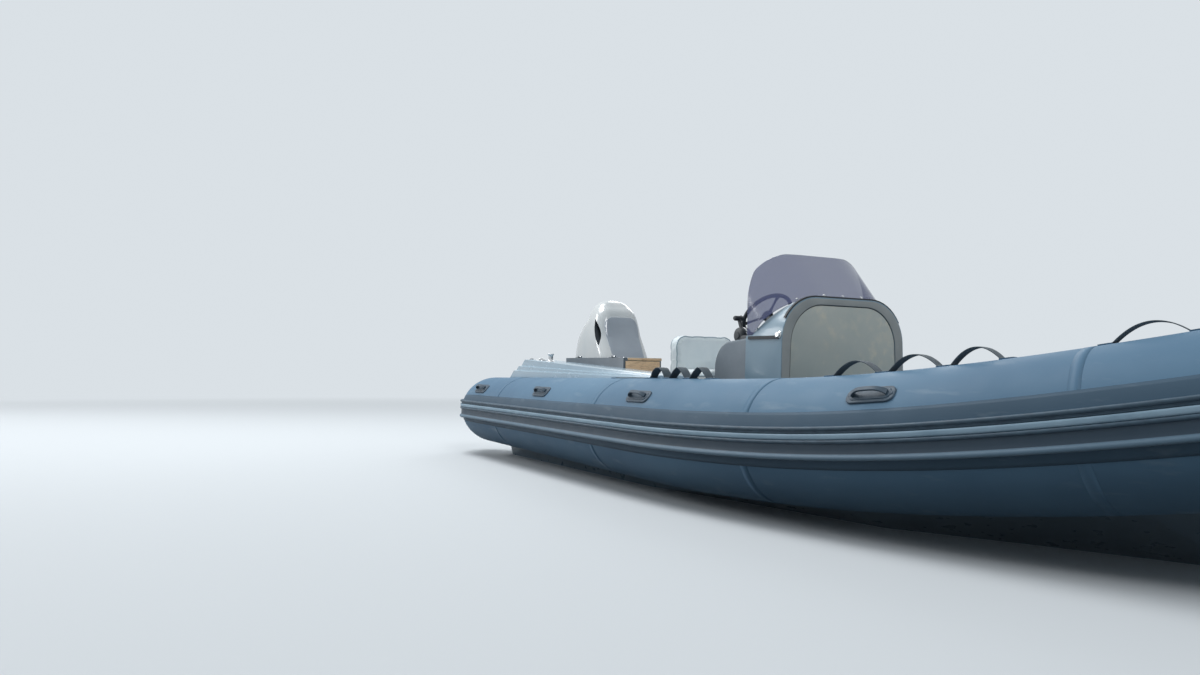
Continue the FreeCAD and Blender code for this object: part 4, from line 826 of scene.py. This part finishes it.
CONSOLE_FRONT, CONSOLE_HALF, CONSOLE_TOP, SOLE_TOP = -0.120, 0.460, 1.050, 0.152
DOOR_HALF, DOOR_LOW, DOOR_TOP, DOOR_GAP = 0.400, 0.215, 1.005, 0.005


def door_line(grow, x):
    return arch_line((DOOR_HALF + grow, DOOR_LOW - grow), (DOOR_HALF - 0.022 + grow, DOOR_TOP - 0.215),
                     (0.165 + grow * 0.4, DOOR_TOP + grow), x)


console_coat = weathered("console_coat", (128, 153, 169), (112, 138, 155), 2.4, 70, 0.0001, (0.22, 0.4),
                         Coat_Weight=0.2)
softened("console_moulding", ["console"], console_coat, 0.008, segments=3)
frame_coat = weathered("frame_coat", (150, 155, 155), (132, 138, 139), 5, 300, 0.0001, (0.4, 0.6))
FRAME_DEPTH = 0.003
outer = arch_line((CONSOLE_HALF - 0.004, SOLE_TOP + 0.004), (CONSOLE_HALF - 0.020, CONSOLE_TOP - 0.240),
                  (0.205, CONSOLE_TOP - 0.006), CONSOLE_FRONT - 0.0005)
door_frame = ring_between(outer, door_line(DOOR_GAP + 0.0005, CONSOLE_FRONT - 0.0005), FRAME_DEPTH)
front = CONSOLE_FRONT + FRAME_DEPTH - 0.001
rim = [e for e in door_frame.edges if min(v.co.x for v in e.verts) > front and e.calc_face_angle(0) > 1]
eased(door_frame, rim, 0.0025, 3)
made("door_frame", door_frame, frame_coat, crease=35)
seal = ring_between(door_line(DOOR_GAP - 0.0005, CONSOLE_FRONT - 0.012),
                    door_line(0.0012, CONSOLE_FRONT - 0.012), 0.009)
made("door_seal", seal, black_rubber, crease=35)

door_paint = finish("door_paint", (142, 150, 148), 0.45)
place = object_place(door_paint)
bloom = place.noise(5.5, 5.0).between(0.46, 0.66)
blotch = place.noise(16, 6.0).between(0.46, 0.68) * bloom
ground_tone = place.noise(2.2, 5.0).between(0.3, 0.7).tint((160, 170, 168), (178, 183, 178))
(blotch * 0.55).tint(ground_tone, (206, 200, 180)).into(door_paint, "Base Color")
(place.noise(18, 5.0) * 0.3 + 0.32).into(door_paint, "Roughness")
place.noise(240, 3.0).relief(door_paint, 0.00015)
steel_past(softened("console_door_panel", ["console_door"], [door_paint, steel], 0.004,
                    "console_door"), 0, CONSOLE_FRONT + 0.0003)
latch_plate = block((0.060, 0.034, 0.003), (0, 0, 0), 0.008, 0.001)
latch_bowl = turned([(0, 0.002), (0.013, 0.002), (0.013, 0.0052), (0.011, 0.007), (0.004, 0.0078),
                     (0, 0.0065)], 28)
made("door_latch", set_at(joined(latch_plate, latch_bowl), (CONSOLE_FRONT - 0.0012, -0.352, 0.420), (0, 0, 1),
                          (1, 0, 0)), steel, "console_door", crease=35)
push_lock = joined(turned([(0, 0), (0.0225, 0), (0.0225, 0.002), (0.020, 0.0045), (0.0155, 0.005),
                           (0.015, 0.012), (0.0135, 0.0145), (0, 0.015)], 40),
                   *[set_at(block((0.0035, 0.009, 0.003), (0, 0, 0), 0.001, 0.001),
                            (0.0115 * math.cos(turn), 0.0115 * math.sin(turn), 0.0135),
                            (math.cos(turn), math.sin(turn), 0), (0, 0, 1))
                     for turn in (0.4, 1.97, 3.54, 5.11)])
made("side_lock", fitted(push_lock, "console", (-0.147, -0.9, 0.837), (0, 1, 0), (1, 0, 0)), steel,
     crease=40)


# Windscreen: one sheet of smoked acrylic, heat-bent round the console's shoulders, bedded on a rubber strip
# and held along its foot by bright screws.
FOCAL, FRAME_MID = 900, (600, 337.5)


def sight(across, down):
    """The way from the eye through a point of the photograph's frame, in its pixels."""
    return ahead * FOCAL + right * (across - FRAME_MID[0]) + up * (FRAME_MID[1] - down)


def screw():
    """A domed head with a slot."""
    radius = 0.0065
    head = turned([(0, 0), (radius, 0), (radius, 0.0012), (radius * 0.8, 0.0026), (0, 0.0032)], 20)
    slot = block((radius * 1.3, 0.0012, 0.0008), (0, 0, 0.0027))
    return joined(head, slot)


smoked = finish("smoked", (94, 100, 138), 0.10, Alpha=0.56, Specular_IOR_Level=0.35)
place = object_place(smoked)
spots = place.noise(55, 5.0).between(0.60, 0.72)
spots.tint((92, 99, 136), (112, 118, 150)).into(smoked, "Base Color")
(place.noise(14, 4.0) * 0.16 + 0.06).into(smoked, "Roughness")
nodes["windscreen"].data.materials.clear()
nodes["windscreen"].data.materials.append(smoked)
SCREW_SIGHTS = ((757, 328.5), (776, 311.5), (797, 298.6), (824, 295.4), (843, 296.4), (861, 297.4))
screws = []
for across, down in SCREW_SIGHTS:
    foot, facing = landing("windscreen", EYE, sight(across, down))
    if foot:
        outside = facing if facing.dot(EYE - foot) > 0 else -facing
        screws.append(set_at(screw(), foot - outside * 0.0004, (0, 1, 0.3), outside))
both_sides("screen_screws", joined(*screws), steel, crease=40)
BED_LOW = 0.93


def sliced(shape, point, normal, **cleared):
    """Cuts a shape by a plane and clears what lies on one side of it, or on both."""
    bmesh.ops.bisect_plane(shape, geom=shape.verts[:] + shape.edges[:] + shape.faces[:], plane_co=point,
                           plane_no=normal, **cleared)


bed = ring_between(arch_line((CONSOLE_HALF + 0.006, SOLE_TOP), (CONSOLE_HALF - 0.010, CONSOLE_TOP - 0.236),
                             (0.205, CONSOLE_TOP + 0.009), CONSOLE_FRONT - 0.019),
                   arch_line((CONSOLE_HALF - 0.003, SOLE_TOP), (CONSOLE_HALF - 0.019, CONSOLE_TOP - 0.242),
                             (0.205, CONSOLE_TOP - 0.003), CONSOLE_FRONT - 0.019), 0.016)
sliced(bed, (0, 0, BED_LOW), (0, 0, -1), clear_outer=True)
bmesh.ops.holes_fill(bed, edges=[e for e in bed.edges if e.is_boundary], sides=0)
made("screen_bed", bed, black_rubber, crease=40)


def on_slope(x, y, z):
    return landing("console", (x, -0.4435, 1.3), (0, 0, -1))[0] + Vector((0, y, z - 0.002))


side_bed = laid(grid((-0.405, -0.140), (-0.0065, 0.0065), (20, 1), 0.017), on_slope)
both_sides("screen_side_bed", side_bed, black_rubber, crease=40)


# Helm: a rounded grey pod behind the dash carries a black binnacle with two dials, a key switch and the
# wheel's column. A switch panel lies on the dash under the screen.
pod_coat = weathered("pod_coat", (112, 124, 134), (96, 109, 120), 4, 260, 0.00015, (0.4, 0.6))
softened("pod_moulding", ["helm_pod"], pod_coat, 0.014, segments=4, crease=45)
textured_black = weathered("textured_black", (50, 54, 59), (40, 44, 49), 8, 1100, 0.0002, (0.4, 0.6))
softened("binnacle_moulding", ["binnacle"], textured_black, 0.006, segments=3, crease=40)
SLOPE = math.radians(43)
WHEEL_WAY = Vector((-math.cos(SLOPE), 0, math.sin(SLOPE)))
FACE_UP = Vector((math.sin(SLOPE), 0, math.cos(SLOPE)))
WHEEL_AT, COLUMN = Vector((-0.800, 0, 0.990)), 0.165
FACE_AT = WHEEL_AT - WHEEL_WAY * COLUMN
dial_ink = weathered("dial_ink", (226, 228, 226), (210, 212, 210), 30, 1000, 0.00002, (0.4, 0.5))
dial_face = weathered("dial_face", (22, 24, 27), (18, 19, 22), 30, 1000, 0.00002, (0.5, 0.6))
needle_red = weathered("needle_red", (190, 70, 52), (176, 60, 45), 30, 1000, 0.00002, (0.4, 0.5))


def dial(name, across, upward, radius, ticks, needle_turn):
    at = FACE_AT + FACE_UP * upward + Vector((0, across, 0))

    def stood(part_shape):
        return set_at(part_shape, at, FACE_UP, WHEEL_WAY)
    bezel = turned([(0, 0), (radius, 0), (radius, 0.004), (radius * 0.95, 0.0075), (radius * 0.86, 0.0075),
                    (radius * 0.84, 0.003), (0, 0.003)], 48)
    made(name + "_bezel", stood(bezel), steel, crease=40)
    made(name + "_face", stood(turned([(0, 0.0029), (radius * 0.84, 0.0029), (radius * 0.84, 0.0035),
                                       (0, 0.0035)], 40)), dial_face, crease=40)
    marks = []
    for index in range(ticks):
        turn = math.radians(-130 + 260 * index / (ticks - 1))
        long_mark = index % 5 == 0
        mark = block((radius * (0.16 if long_mark else 0.09), 0.0012 if long_mark else 0.0007, 0.0003))
        spoke_way = Vector((math.cos(turn), math.sin(turn), 0))
        marks.append(set_at(mark, spoke_way * radius * 0.70 + Vector((0, 0, 0.0034)), spoke_way, (0, 0, 1)))
    made(name + "_marks", stood(joined(*marks)), dial_ink)
    turn = math.radians(needle_turn)
    way_out = Vector((math.cos(turn), math.sin(turn), 0))
    needle = set_at(block((radius * 0.72, 0.0016, 0.0006)), way_out * radius * 0.27 + Vector((0, 0, 0.0045)),
                    way_out, (0, 0, 1))
    made(name + "_needle", stood(joined(needle, turned([(0, 0.0034), (0.004, 0.0034), (0.0035, 0.006),
                                                        (0, 0.0062)], 20))), needle_red,
         crease=40)


# Columns: place across and up the face, radius, marks, and the turn of the needle in degrees.
dial("speed_dial", 0.090, 0.042, 0.0440, 31, 128)
dial("rev_dial", -0.090, 0.042, 0.0440, 31, 128)
dial("fuel_dial", 0.105, -0.058, 0.0265, 11, 40)
key_switch = joined(turned([(0, 0), (0.019, 0), (0.019, 0.003), (0.016, 0.006), (0.010, 0.0065),
                            (0.0095, 0.010), (0, 0.010)], 36),
                    block((0.003, 0.014, 0.020), (0, 0, 0.009), 0.001, 0.001))
made("key_switch", set_at(key_switch, FACE_AT - FACE_UP * 0.058 + Vector((0, -0.105, 0)), FACE_UP,
                          WHEEL_WAY), steel, crease=35)
foot, facing = landing("console", (-0.270, -0.235, 1.3), (0, 0, -1))
panel_up = Vector((-facing.z, 0, facing.x)) * -1
PANEL = (0.110, 0.190, 0.004)
switch_plate = set_at(block(PANEL, (0, 0, 0), 0.010, 0.0015), foot, panel_up, facing)
made("switch_plate", switch_plate, textured_black, crease=35)
ROWS, COLUMNS = (-0.024, 0.024), (-0.066, -0.022, 0.022, 0.066)
rockers = []
for row_at in ROWS:
    for column in COLUMNS:
        rocker = joined(block((0.034, 0.020, 0.004), (row_at, column, 0.0035), 0.003, 0.001),
                        set_at(block((0.026, 0.015, 0.004), (0, 0, 0), 0.002, 0.001), (row_at, column, 0.006),
                               (1, 0, 0.16), (-0.16, 0, 1)))
        rockers.append(set_at(rocker, foot, panel_up, facing))
made("rocker_switches", joined(*rockers), black_rubber, crease=35)
lamps = [set_at(turned([(0, 0.0035), (0.0030, 0.0035), (0.0025, 0.0055), (0, 0.006)], 16), foot
                + facing.cross(panel_up) * column, panel_up, facing) for column in COLUMNS]
made("switch_lamps", joined(*lamps), needle_red, crease=40)


# Steering wheel: a black rim moulded over steel with finger grips, three spokes and a domed boss.
wheel_rubber = weathered("wheel_rubber", (50, 54, 60), (38, 42, 47), 22, 1300, 0.00025, (0.45, 0.7))
RIM, RIM_TUBE, GRIPS = 0.160, 0.013, 30
WHEEL_STAND = (WHEEL_AT, (0, 1, 0), WHEEL_WAY)
rim = bmesh.new()
bmesh.ops.create_circle(rim, segments=20, radius=RIM_TUBE,
                        matrix=Matrix.Translation((RIM, 0, 0)) @ Matrix.Rotation(math.pi / 2, 4, "X"))
bmesh.ops.spin(rim, geom=rim.verts[:] + rim.edges[:], cent=(0, 0, 0), axis=(0, 0, 1), angle=2 * math.pi,
               steps=180, use_merge=True)
bmesh.ops.remove_doubles(rim, verts=rim.verts[:], dist=1e-6)
for vert in rim.verts:
    turn = math.atan2(vert.co.y, vert.co.x)
    centre = Vector((math.cos(turn), math.sin(turn), 0)) * RIM
    inner_share = max(0.0, (RIM - vert.co.xy.length) / RIM_TUBE)
    vert.co = centre + (vert.co - centre) * (1 - 0.16 * inner_share * (0.5 + 0.5 * math.cos(GRIPS * turn)))
made("wheel_rim", set_at(outward(rim), *WHEEL_STAND), wheel_rubber, "wheel",
     ["steering_wheel"])
dark_metal = bright("dark_metal", (0.10, 0.105, 0.11), 0.28)
spokes = []
for turn in (math.radians(30 + 120 * index) for index in range(3)):
    spoke = grid((0.024, RIM - 0.006), (-0.5, 0.5), (10, 2), 0.005)
    for vert in spoke.verts:
        share = (vert.co.x - 0.024) / (RIM - 0.030)
        vert.co.y *= 0.030 - 0.014 * math.sin(math.pi * share)
        vert.co.z += -0.0025 - 0.006 * (1 - share) ** 2
    eased(spoke, [e for e in spoke.edges if e.calc_face_angle(0) > 1], 0.0012)
    bmesh.ops.rotate(spoke, cent=(0, 0, 0), matrix=Matrix.Rotation(turn, 3, "Z"), verts=spoke.verts[:])
    spokes.append(spoke)
made("wheel_spokes", set_at(joined(*spokes), *WHEEL_STAND), dark_metal, "wheel", crease=40)
boss = turned([(0, -0.021), (0.030, -0.021), (0.036, -0.012), (0.037, 0.002), (0.034, 0.008), (0.024, 0.0125),
               (0.012, 0.0145), (0, 0.015)], 48)
made("wheel_boss", set_at(boss, *WHEEL_STAND), textured_black, "wheel", crease=40)


# Throttle: a drum-shaped control on the pod's starboard corner, with a bent lever and a cross handle.
DRUM_AT = Vector((-0.592, -0.312, 0.849))
drum = turned([(0, 0), (0.040, 0), (0.044, 0.004), (0.046, 0.012), (0.046, 0.056), (0.043, 0.064),
               (0.034, 0.070), (0.022, 0.0715), (0.020, 0.076), (0, 0.077)], 56)
drum = joined(set_at(drum, DRUM_AT, (1, 0, 0), (0, -1, 0)),
              block((0.128, 0.064, 0.034), (-0.516, -0.350, 0.8145), 0.012, 0.010, 5))
made("throttle_drum", drum, textured_black, stands_for=["throttle_box"], crease=40)
band = turned([(0.0462, 0.026), (0.0472, 0.028), (0.0472, 0.036), (0.0462, 0.038), (0.0450, 0.032),
               (0.0462, 0.026)], 56)
made("throttle_band", set_at(band, DRUM_AT, (1, 0, 0), (0, -1, 0)), steel, crease=40)
LEVER_FOOT, LEVER_TOP = Vector((-0.592, -0.350, 0.878)), Vector((-0.622, -0.350, 0.950))
arm = set_at(block((0.026, 0.012, 0.086), (0, 0, -0.004), 0.005, 0.004), LEVER_FOOT, (1, 0, 0),
             LEVER_TOP - LEVER_FOOT)
cross = turned([(0, -0.036), (0.011, -0.034), (0.0145, -0.028), (0.0150, 0), (0.0145, 0.028), (0.011, 0.034),
                (0, 0.036)], 28)
button = block((0.010, 0.010, 0.006), (0, 0, 0.012), 0.003, 0.002)
made("throttle_lever_moulding", joined(arm, set_at(cross, LEVER_TOP, (1, 0, 0), (0, 1, 0)),
                                       set_at(button, LEVER_TOP + Vector((0, 0.018, 0)), (0, 1, 0),
                                              (-0.4, 0, 1))), wheel_rubber,
     stands_for=["throttle_lever"], crease=40)


# Helm seat: a gelcoat pedestal with a pale vinyl cushion and backrest, foam-filled, each sewn from panels
# with a welt round its edge.
vinyl = weathered("vinyl", (230, 240, 243), (217, 229, 234), 6, 420, 0.00022, (0.38, 0.55), Sheen_Weight=0.1)
place = object_place(vinyl)
leather = place.node("TexVoronoi", {"feature": "DISTANCE_TO_EDGE"}, {"Vector": place, "Scale": 520.0})
(leather.between(0.0, 0.12) * 0.7 + place.noise(14, 4.0) * 1.4).relief(vinyl, 0.0003)
welt_vinyl = weathered("welt_vinyl", (150, 170, 181), (136, 156, 168), 12, 700, 0.0001, (0.4, 0.6))
softened("seat_pedestal", ["seat_base"], gelcoat, 0.012, segments=3)
FRAMES, PRESSURE, VOXEL = 20, 4.0, 0.006


def plumped(name, shape, cap):
    """Fills a sewn cover until it is tight: the cloth swells from its cut shape by no more than the cap."""
    piece = made(name, shape, vinyl)
    remesh = piece.modifiers.new("cells", "REMESH")
    remesh.mode, remesh.voxel_size = "VOXEL", VOXEL
    settle(piece)
    before = [vert.co.copy() for vert in piece.data.vertices]
    cloth = piece.modifiers.new("cover", "CLOTH")
    cloth.settings.use_pressure, cloth.settings.uniform_pressure_force = True, PRESSURE
    cloth.settings.effector_weights.gravity = 0
    cloth.point_cache.frame_start, cloth.point_cache.frame_end = 1, FRAMES
    for step in range(1, FRAMES + 1):
        bpy.context.scene.frame_set(step)
    settle(piece)
    bpy.context.scene.frame_set(1)
    for vert, start_at in zip(piece.data.vertices, before):
        moved = vert.co - start_at
        if moved.length > cap:
            vert.co = start_at + moved * (cap / moved.length)
    shaded(piece.data)
    return piece


def baked(piece):
    """The mesh of a piece as its modifiers leave it."""
    return bpy.data.meshes.new_from_object(piece.evaluated_get(bpy.context.evaluated_depsgraph_get()))


def settle(piece):
    """Makes a piece's modifiers part of its mesh."""
    mesh = baked(piece)
    piece.modifiers.clear()
    piece.data = mesh


def smoothed(piece):
    """Rounds a piece's facets by halving them once more."""
    rounding = piece.modifiers.new("smoothing", "SUBSURF")
    rounding.levels = rounding.render_levels = 1


WELT_RADIUS = 0.0038


def welt(name, piece, point, normal):
    """A round cord sewn in where a plane crosses the cushion."""
    shape = copied(piece.data)
    sliced(shape, point, normal, clear_inner=True, clear_outer=True)
    seam = bpy.data.curves.new(name + "_line", "CURVE")
    seam.dimensions, seam.bevel_depth, seam.bevel_resolution = "3D", WELT_RADIUS, 3
    shape.verts.ensure_lookup_table()
    start = vert = shape.verts[0]
    corners, last = [], None
    while vert is not start or not corners:
        corners.append(vert.co.copy())
        ahead_edge = next(edge for edge in vert.link_edges if edge is not last)
        vert, last = ahead_edge.other_vert(vert), ahead_edge
    shape.free()
    line = seam.splines.new("POLY")
    line.points.add(len(corners) - 1)
    for corner, co in zip(line.points, corners):
        corner.co = (*co, 1)
    line.use_cyclic_u = True
    carrier = placed(name + "_line", seam)
    cord = copied(baked(carrier))
    bpy.data.objects.remove(carrier)
    made(name, cord, welt_vinyl)


def sunk(piece, axis, at, depth, width):
    """Draws the cover down along a sewn channel."""
    for vert, normal in [(vert, vert.normal.copy()) for vert in piece.data.vertices]:
        pull = math.exp(-((vert.co[axis] - at) / width) ** 2)
        if pull > 0.01 and normal[axis] ** 2 < 0.5:
            vert.co -= normal * depth * pull


CUSHION_AT, CUSHION = (-1.265, 0, 0.5735), (0.366, 0.486, 0.064)
SWELL = 0.011
cushion = plumped("seat_pad", block(CUSHION, CUSHION_AT, 0.035, 0.016, 5), SWELL)
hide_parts("seat_cushion")
CHANNELS, CHANNEL_DEPTH, CHANNEL_WIDTH = (-0.120, 0.120), 0.006, 0.006
for across in CHANNELS:
    sunk(cushion, 1, across, CHANNEL_DEPTH, CHANNEL_WIDTH)
welt("seat_pad_welt", cushion, (0, 0, 0.607), (0, 0, 1))
smoothed(cushion)
back_shape = block((0.072, 0.486, 0.312), (-1.508, 0, 0.572))
upper = [e for e in back_shape.edges if min(v.co.z for v in e.verts) > 0.88 and
         abs(e.verts[0].co.x - e.verts[1].co.x) > 0.05]
eased(back_shape, upper, 0.075, 5)
back = plumped("seat_back_pad", back_shape, SWELL)
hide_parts("seat_backrest")
for at_x, label in ((-1.474, "front"), (-1.542, "rear")):
    welt("seat_back_welt_" + label, back, (at_x, 0, 0), (1, 0, 0))
smoothed(back)


# Outboard engine: a pressed cowl in glossy paint, drawn in all round, with a leaf-shaped air intake on each
# side and a grey panel let into its front. It sits on a grey lower cover over a rubber seal.
COWL_LEVELS = ((600, -412, 200, 205, 100), (720, -410, 180, 215, 100), (810, -397, 135, 215, 105),
               (900, -366, 82, 210, 100), (990, -290, 54, 199, 95), (1055, -228, 38, 185, 90),
               (1110, -218, 14, 165, 85), (1150, -204, -25, 140, 75), (1182, -178, -58, 103, 50),
               (1198, -142, -92, 45, 22), (1203, -122, -108, 14, 7))
PAN_LEVELS = ((505, -285, 60, 80, 60), (550, -380, 170, 180, 90), (588, -406, 194, 198, 97),
              (600, -409, 197, 201, 98))
SEAL_LEVELS = ((596, -412, 200, 205, 100), (598, -413, 201, 206, 100), (602, -413, 201, 206, 100),
               (604, -411, 199, 205, 100))
STEER_X = -2.700


def hooped(levels, rows, columns=48):
    """A shell through rounded rectangles, each given in mm as height, back, front, half width and corner."""
    def rule(x, y, z):
        index = min(int(y), len(levels) - 2)
        four = [levels[max(0, min(len(levels) - 1, index + step))] for step in (-1, 0, 1, 2)]
        t = y - index
        height, back, front, half, corner = (
            0.0005 * (2 * b + (c - a) * t + (2 * a - 5 * b + 4 * c - d) * t * t
                      + (3 * (b - c) + d - a) * t ** 3)
            for a, b, c, d in zip(*four))
        stretch, share = divmod(x, 1)
        quarter = int(stretch / 2) % 4
        centres = [Vector((way_x, way_y * (half - corner), height))
                   for way_x, way_y in ((front - corner, 1), (back + corner, 1), (back + corner, -1),
                                        (front - corner, -1))]
        turn = math.pi / 2 * (quarter + (share if stretch % 2 == 0 else 1))
        reach = Vector((math.cos(turn), math.sin(turn), 0)) * corner
        centre = centres[quarter]
        if stretch % 2:
            centre = centre.lerp(centres[(quarter + 1) % 4], share)
        return centre + reach + Vector((STEER_X, 0, 0))
    return laid(grid((0, 8), (0, len(levels) - 1), (columns, rows)), rule, True)


def cut_out(piece, cutter, lining):
    """Cuts a shape out of a piece, and lines the cut with the piece's second finish."""
    mesh = bpy.data.meshes.new("cutter")
    cutter.to_mesh(mesh)
    cutter.free()
    mesh.materials.append(piece.data.materials[0])
    mesh.materials.append(lining)
    piece.data.materials.append(lining)
    for face in mesh.polygons:
        face.material_index = 1
    tool = placed("cutter", mesh)
    cut = piece.modifiers.new("cut", "BOOLEAN")
    cut.operation, cut.object, cut.solver = "DIFFERENCE", tool, "EXACT"
    settle(piece)
    bpy.data.objects.remove(tool)
    shaded(piece.data, 30)


INTAKE_OUT, INTAKE_DEPTH = 0.240, 0.085


def leaf(sign):
    """The intake's outline, from its upper tip to its lower one, carried in from outside the cowl."""
    upper, lower = Vector((-0.042, 0, 1.043)), Vector((0.058, 0, 0.825))
    swells = (Vector((0.026, 0, 0.012)), Vector((-0.022, 0, -0.012)))
    shape = bmesh.new()
    bmesh.ops.create_circle(shape, cap_ends=True, segments=32, radius=1)
    for vert in shape.verts:
        share = (1 - vert.co.x) / 2
        swell = swells[0 if vert.co.y > 0 else 1] * 4 * share * (1 - share)
        vert.co = upper.lerp(lower, share) + swell + Vector((STEER_X, sign * INTAKE_OUT, 0))
    thickened(shape, (0, -sign * INTAKE_DEPTH, 0))
    return outward(shape)


cowl_paint = finish("cowl_paint", (206, 210, 211), 0.22, Coat_Weight=0.6, Coat_Roughness=0.08)
place = object_place(cowl_paint)
film = place.noise(5, 5.0, (1, 1, 0.5)).between(0.35, 0.7).tint((196, 203, 206), (212, 215, 215))
low_spray = place.part("Z").between(0.72, 0.60) * place.noise(30, 6.0).between(0.45, 0.62)
(low_spray * 0.4).tint(film, (150, 162, 168)).into(cowl_paint, "Base Color")
SEAM_SLOPE, SEAM_X, SEAM_TOP = 0.13, STEER_X + 0.048, 0.90
off_seam = place.part("X") - (place.part("Z") * -SEAM_SLOPE + (SEAM_X + SEAM_SLOPE * 0.6))
seam = (off_seam.maths("ABSOLUTE", off_seam) < 0.0022) * (place.part("Z") < SEAM_TOP)
(place.noise(90, 3.0) * 0.02 - seam).relief(cowl_paint, 0.0015)
(place.noise(40, 4.0) * 0.14 + 0.14).into(cowl_paint, "Roughness")
intake_black = weathered("intake_black", (52, 60, 68), (38, 45, 52), 12, 700, 0.0002, (0.5, 0.7))
cowl = made("cowl_shell", hooped(COWL_LEVELS, 60, 64), cowl_paint, "engine", ["engine_cowl"],
            30)
for sign in (-1, 1):
    cut_out(cowl, leaf(sign), intake_black)
cover_grey = weathered("cover_grey", (120, 130, 138), (106, 117, 126), 6, 500, 0.0001, (0.35, 0.5))
made("lower_cover", hooped(PAN_LEVELS, 15), cover_grey, "engine", ["engine_pan"], 30)
made("cowl_seal", hooped(SEAL_LEVELS, 6), black_rubber, "engine", crease=60)
front_gloss = weathered("front_gloss", (158, 168, 179), (146, 157, 169), 5, 30, 0.0001, (0.08, 0.2),
                        Coat_Weight=0.5)
softened("cowl_front_panel", ["engine_front_panel"], front_gloss, 0.0022, "engine", crease=35)
cowl_latch = joined(block((0.046, 0.030, 0.010), (0, 0, 0), 0.006, 0.003),
                    block((0.016, 0.036, 0.006), (0.012, 0, 0.008), 0.004, 0.002))
made("cowl_latch", set_at(cowl_latch, (STEER_X - 0.411, 0, 0.606), (0, 0, -1), (-1, 0, 0)), textured_black,
     "engine", crease=35)


# Engine's lower half: a cast leg with its plates and gearcase, painted silver, on a black steering bracket
# and a clamp bolted through the transom. The power unit hides under the cowl.
leg_paint = weathered("leg_paint", (170, 178, 182), (150, 160, 166), 5, 350, 0.0001, (0.28, 0.45),
                      Metallic=0.3)
bracket_paint = weathered("bracket_paint", (58, 63, 68), (46, 51, 56), 7, 700, 0.0002, (0.4, 0.55))
softened("leg_casting", ["engine_leg"], leg_paint, 0.004, "engine")
cast_grey = weathered("cast_grey", (110, 114, 118), (88, 92, 96), 10, 500, 0.0004, (0.4, 0.6))
softened("power_casting", ["power_unit"], cast_grey, 0.012, "engine", segments=3)
SLOT, SLOT_TOP, SLOT_PITCH, SLOTS = (0.044, 0.006, 0.0012), -0.395, 0.016, 4
grilles = [fitted(block(SLOT, (0, 0, 0), 0.0028, 0.0005), "engine_leg",
                  (-2.800, -0.5, SLOT_TOP - SLOT_PITCH * index), (0, 1, 0), (1, 0, 0))
           for index in range(SLOTS)]
both_sides("water_grille", joined(*grilles), intake_black, "engine", crease=30)
softened("swivel_casting", ["swivel_bracket"], bracket_paint, 0.004, "swivel")
softened("clamp_casting", ["engine_clamp"], bracket_paint, 0.003)
prop_paint = weathered("prop_paint", (62, 66, 70), (50, 54, 58), 14, 500, 0.0001, (0.25, 0.4))
softened("propeller_casting", ["propeller"], prop_paint, 0.0008, "propeller", crease=50,
         segments=1)


def bolt():
    """A six-sided head on a washer."""
    radius = 0.010
    washer = turned([(0, 0), (radius * 1.35, 0), (radius * 1.35, 0.0016), (radius * 1.2, 0.0022),
                     (0, 0.0022)], 28)
    head = turned([(0, 0.002), (radius, 0.002), (radius, 0.0085), (radius * 0.85, 0.0100), (0, 0.0100)], 6)
    return joined(washer, head)


BOLT_SIDE, BOLT_HEIGHTS = -0.105, (0.200, 0.280)
bolts = [fitted(bolt(), "transom", (-2.3, BOLT_SIDE, height), (-1, 0, 0), (0, 1, 0))
         for height in BOLT_HEIGHTS]
both_sides("transom_bolts", joined(*bolts), steel, crease=30)
drain = turned([(0, 0), (0.026, 0), (0.026, 0.003), (0.023, 0.005), (0.017, 0.005), (0.0165, 0.003),
                (0.014, 0.003), (0.0135, 0.010), (0, 0.011)], 36)
both_sides("drain_caps", fitted(drain, "transom", (-2.8, -0.360, 0.185), (1, 0, 0), (0, 1, 0)), black_rubber,
           crease=35)


# Towing eyes: U-bolts of bright steel on plates, one at the foot of the bow and two on the transom.
for name, node in (("bow_towing_eye", "bow_eye"), ("stern_towing_eyes", "stern_eyes")):
    softened(name, [node], steel, 0.0006, crease=50, segments=1)


# The size of the model, beside the CAD's.
low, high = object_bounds()
{"cad": [list(corner) for corner in cad_box], "visual": [list(low), list(high)]}
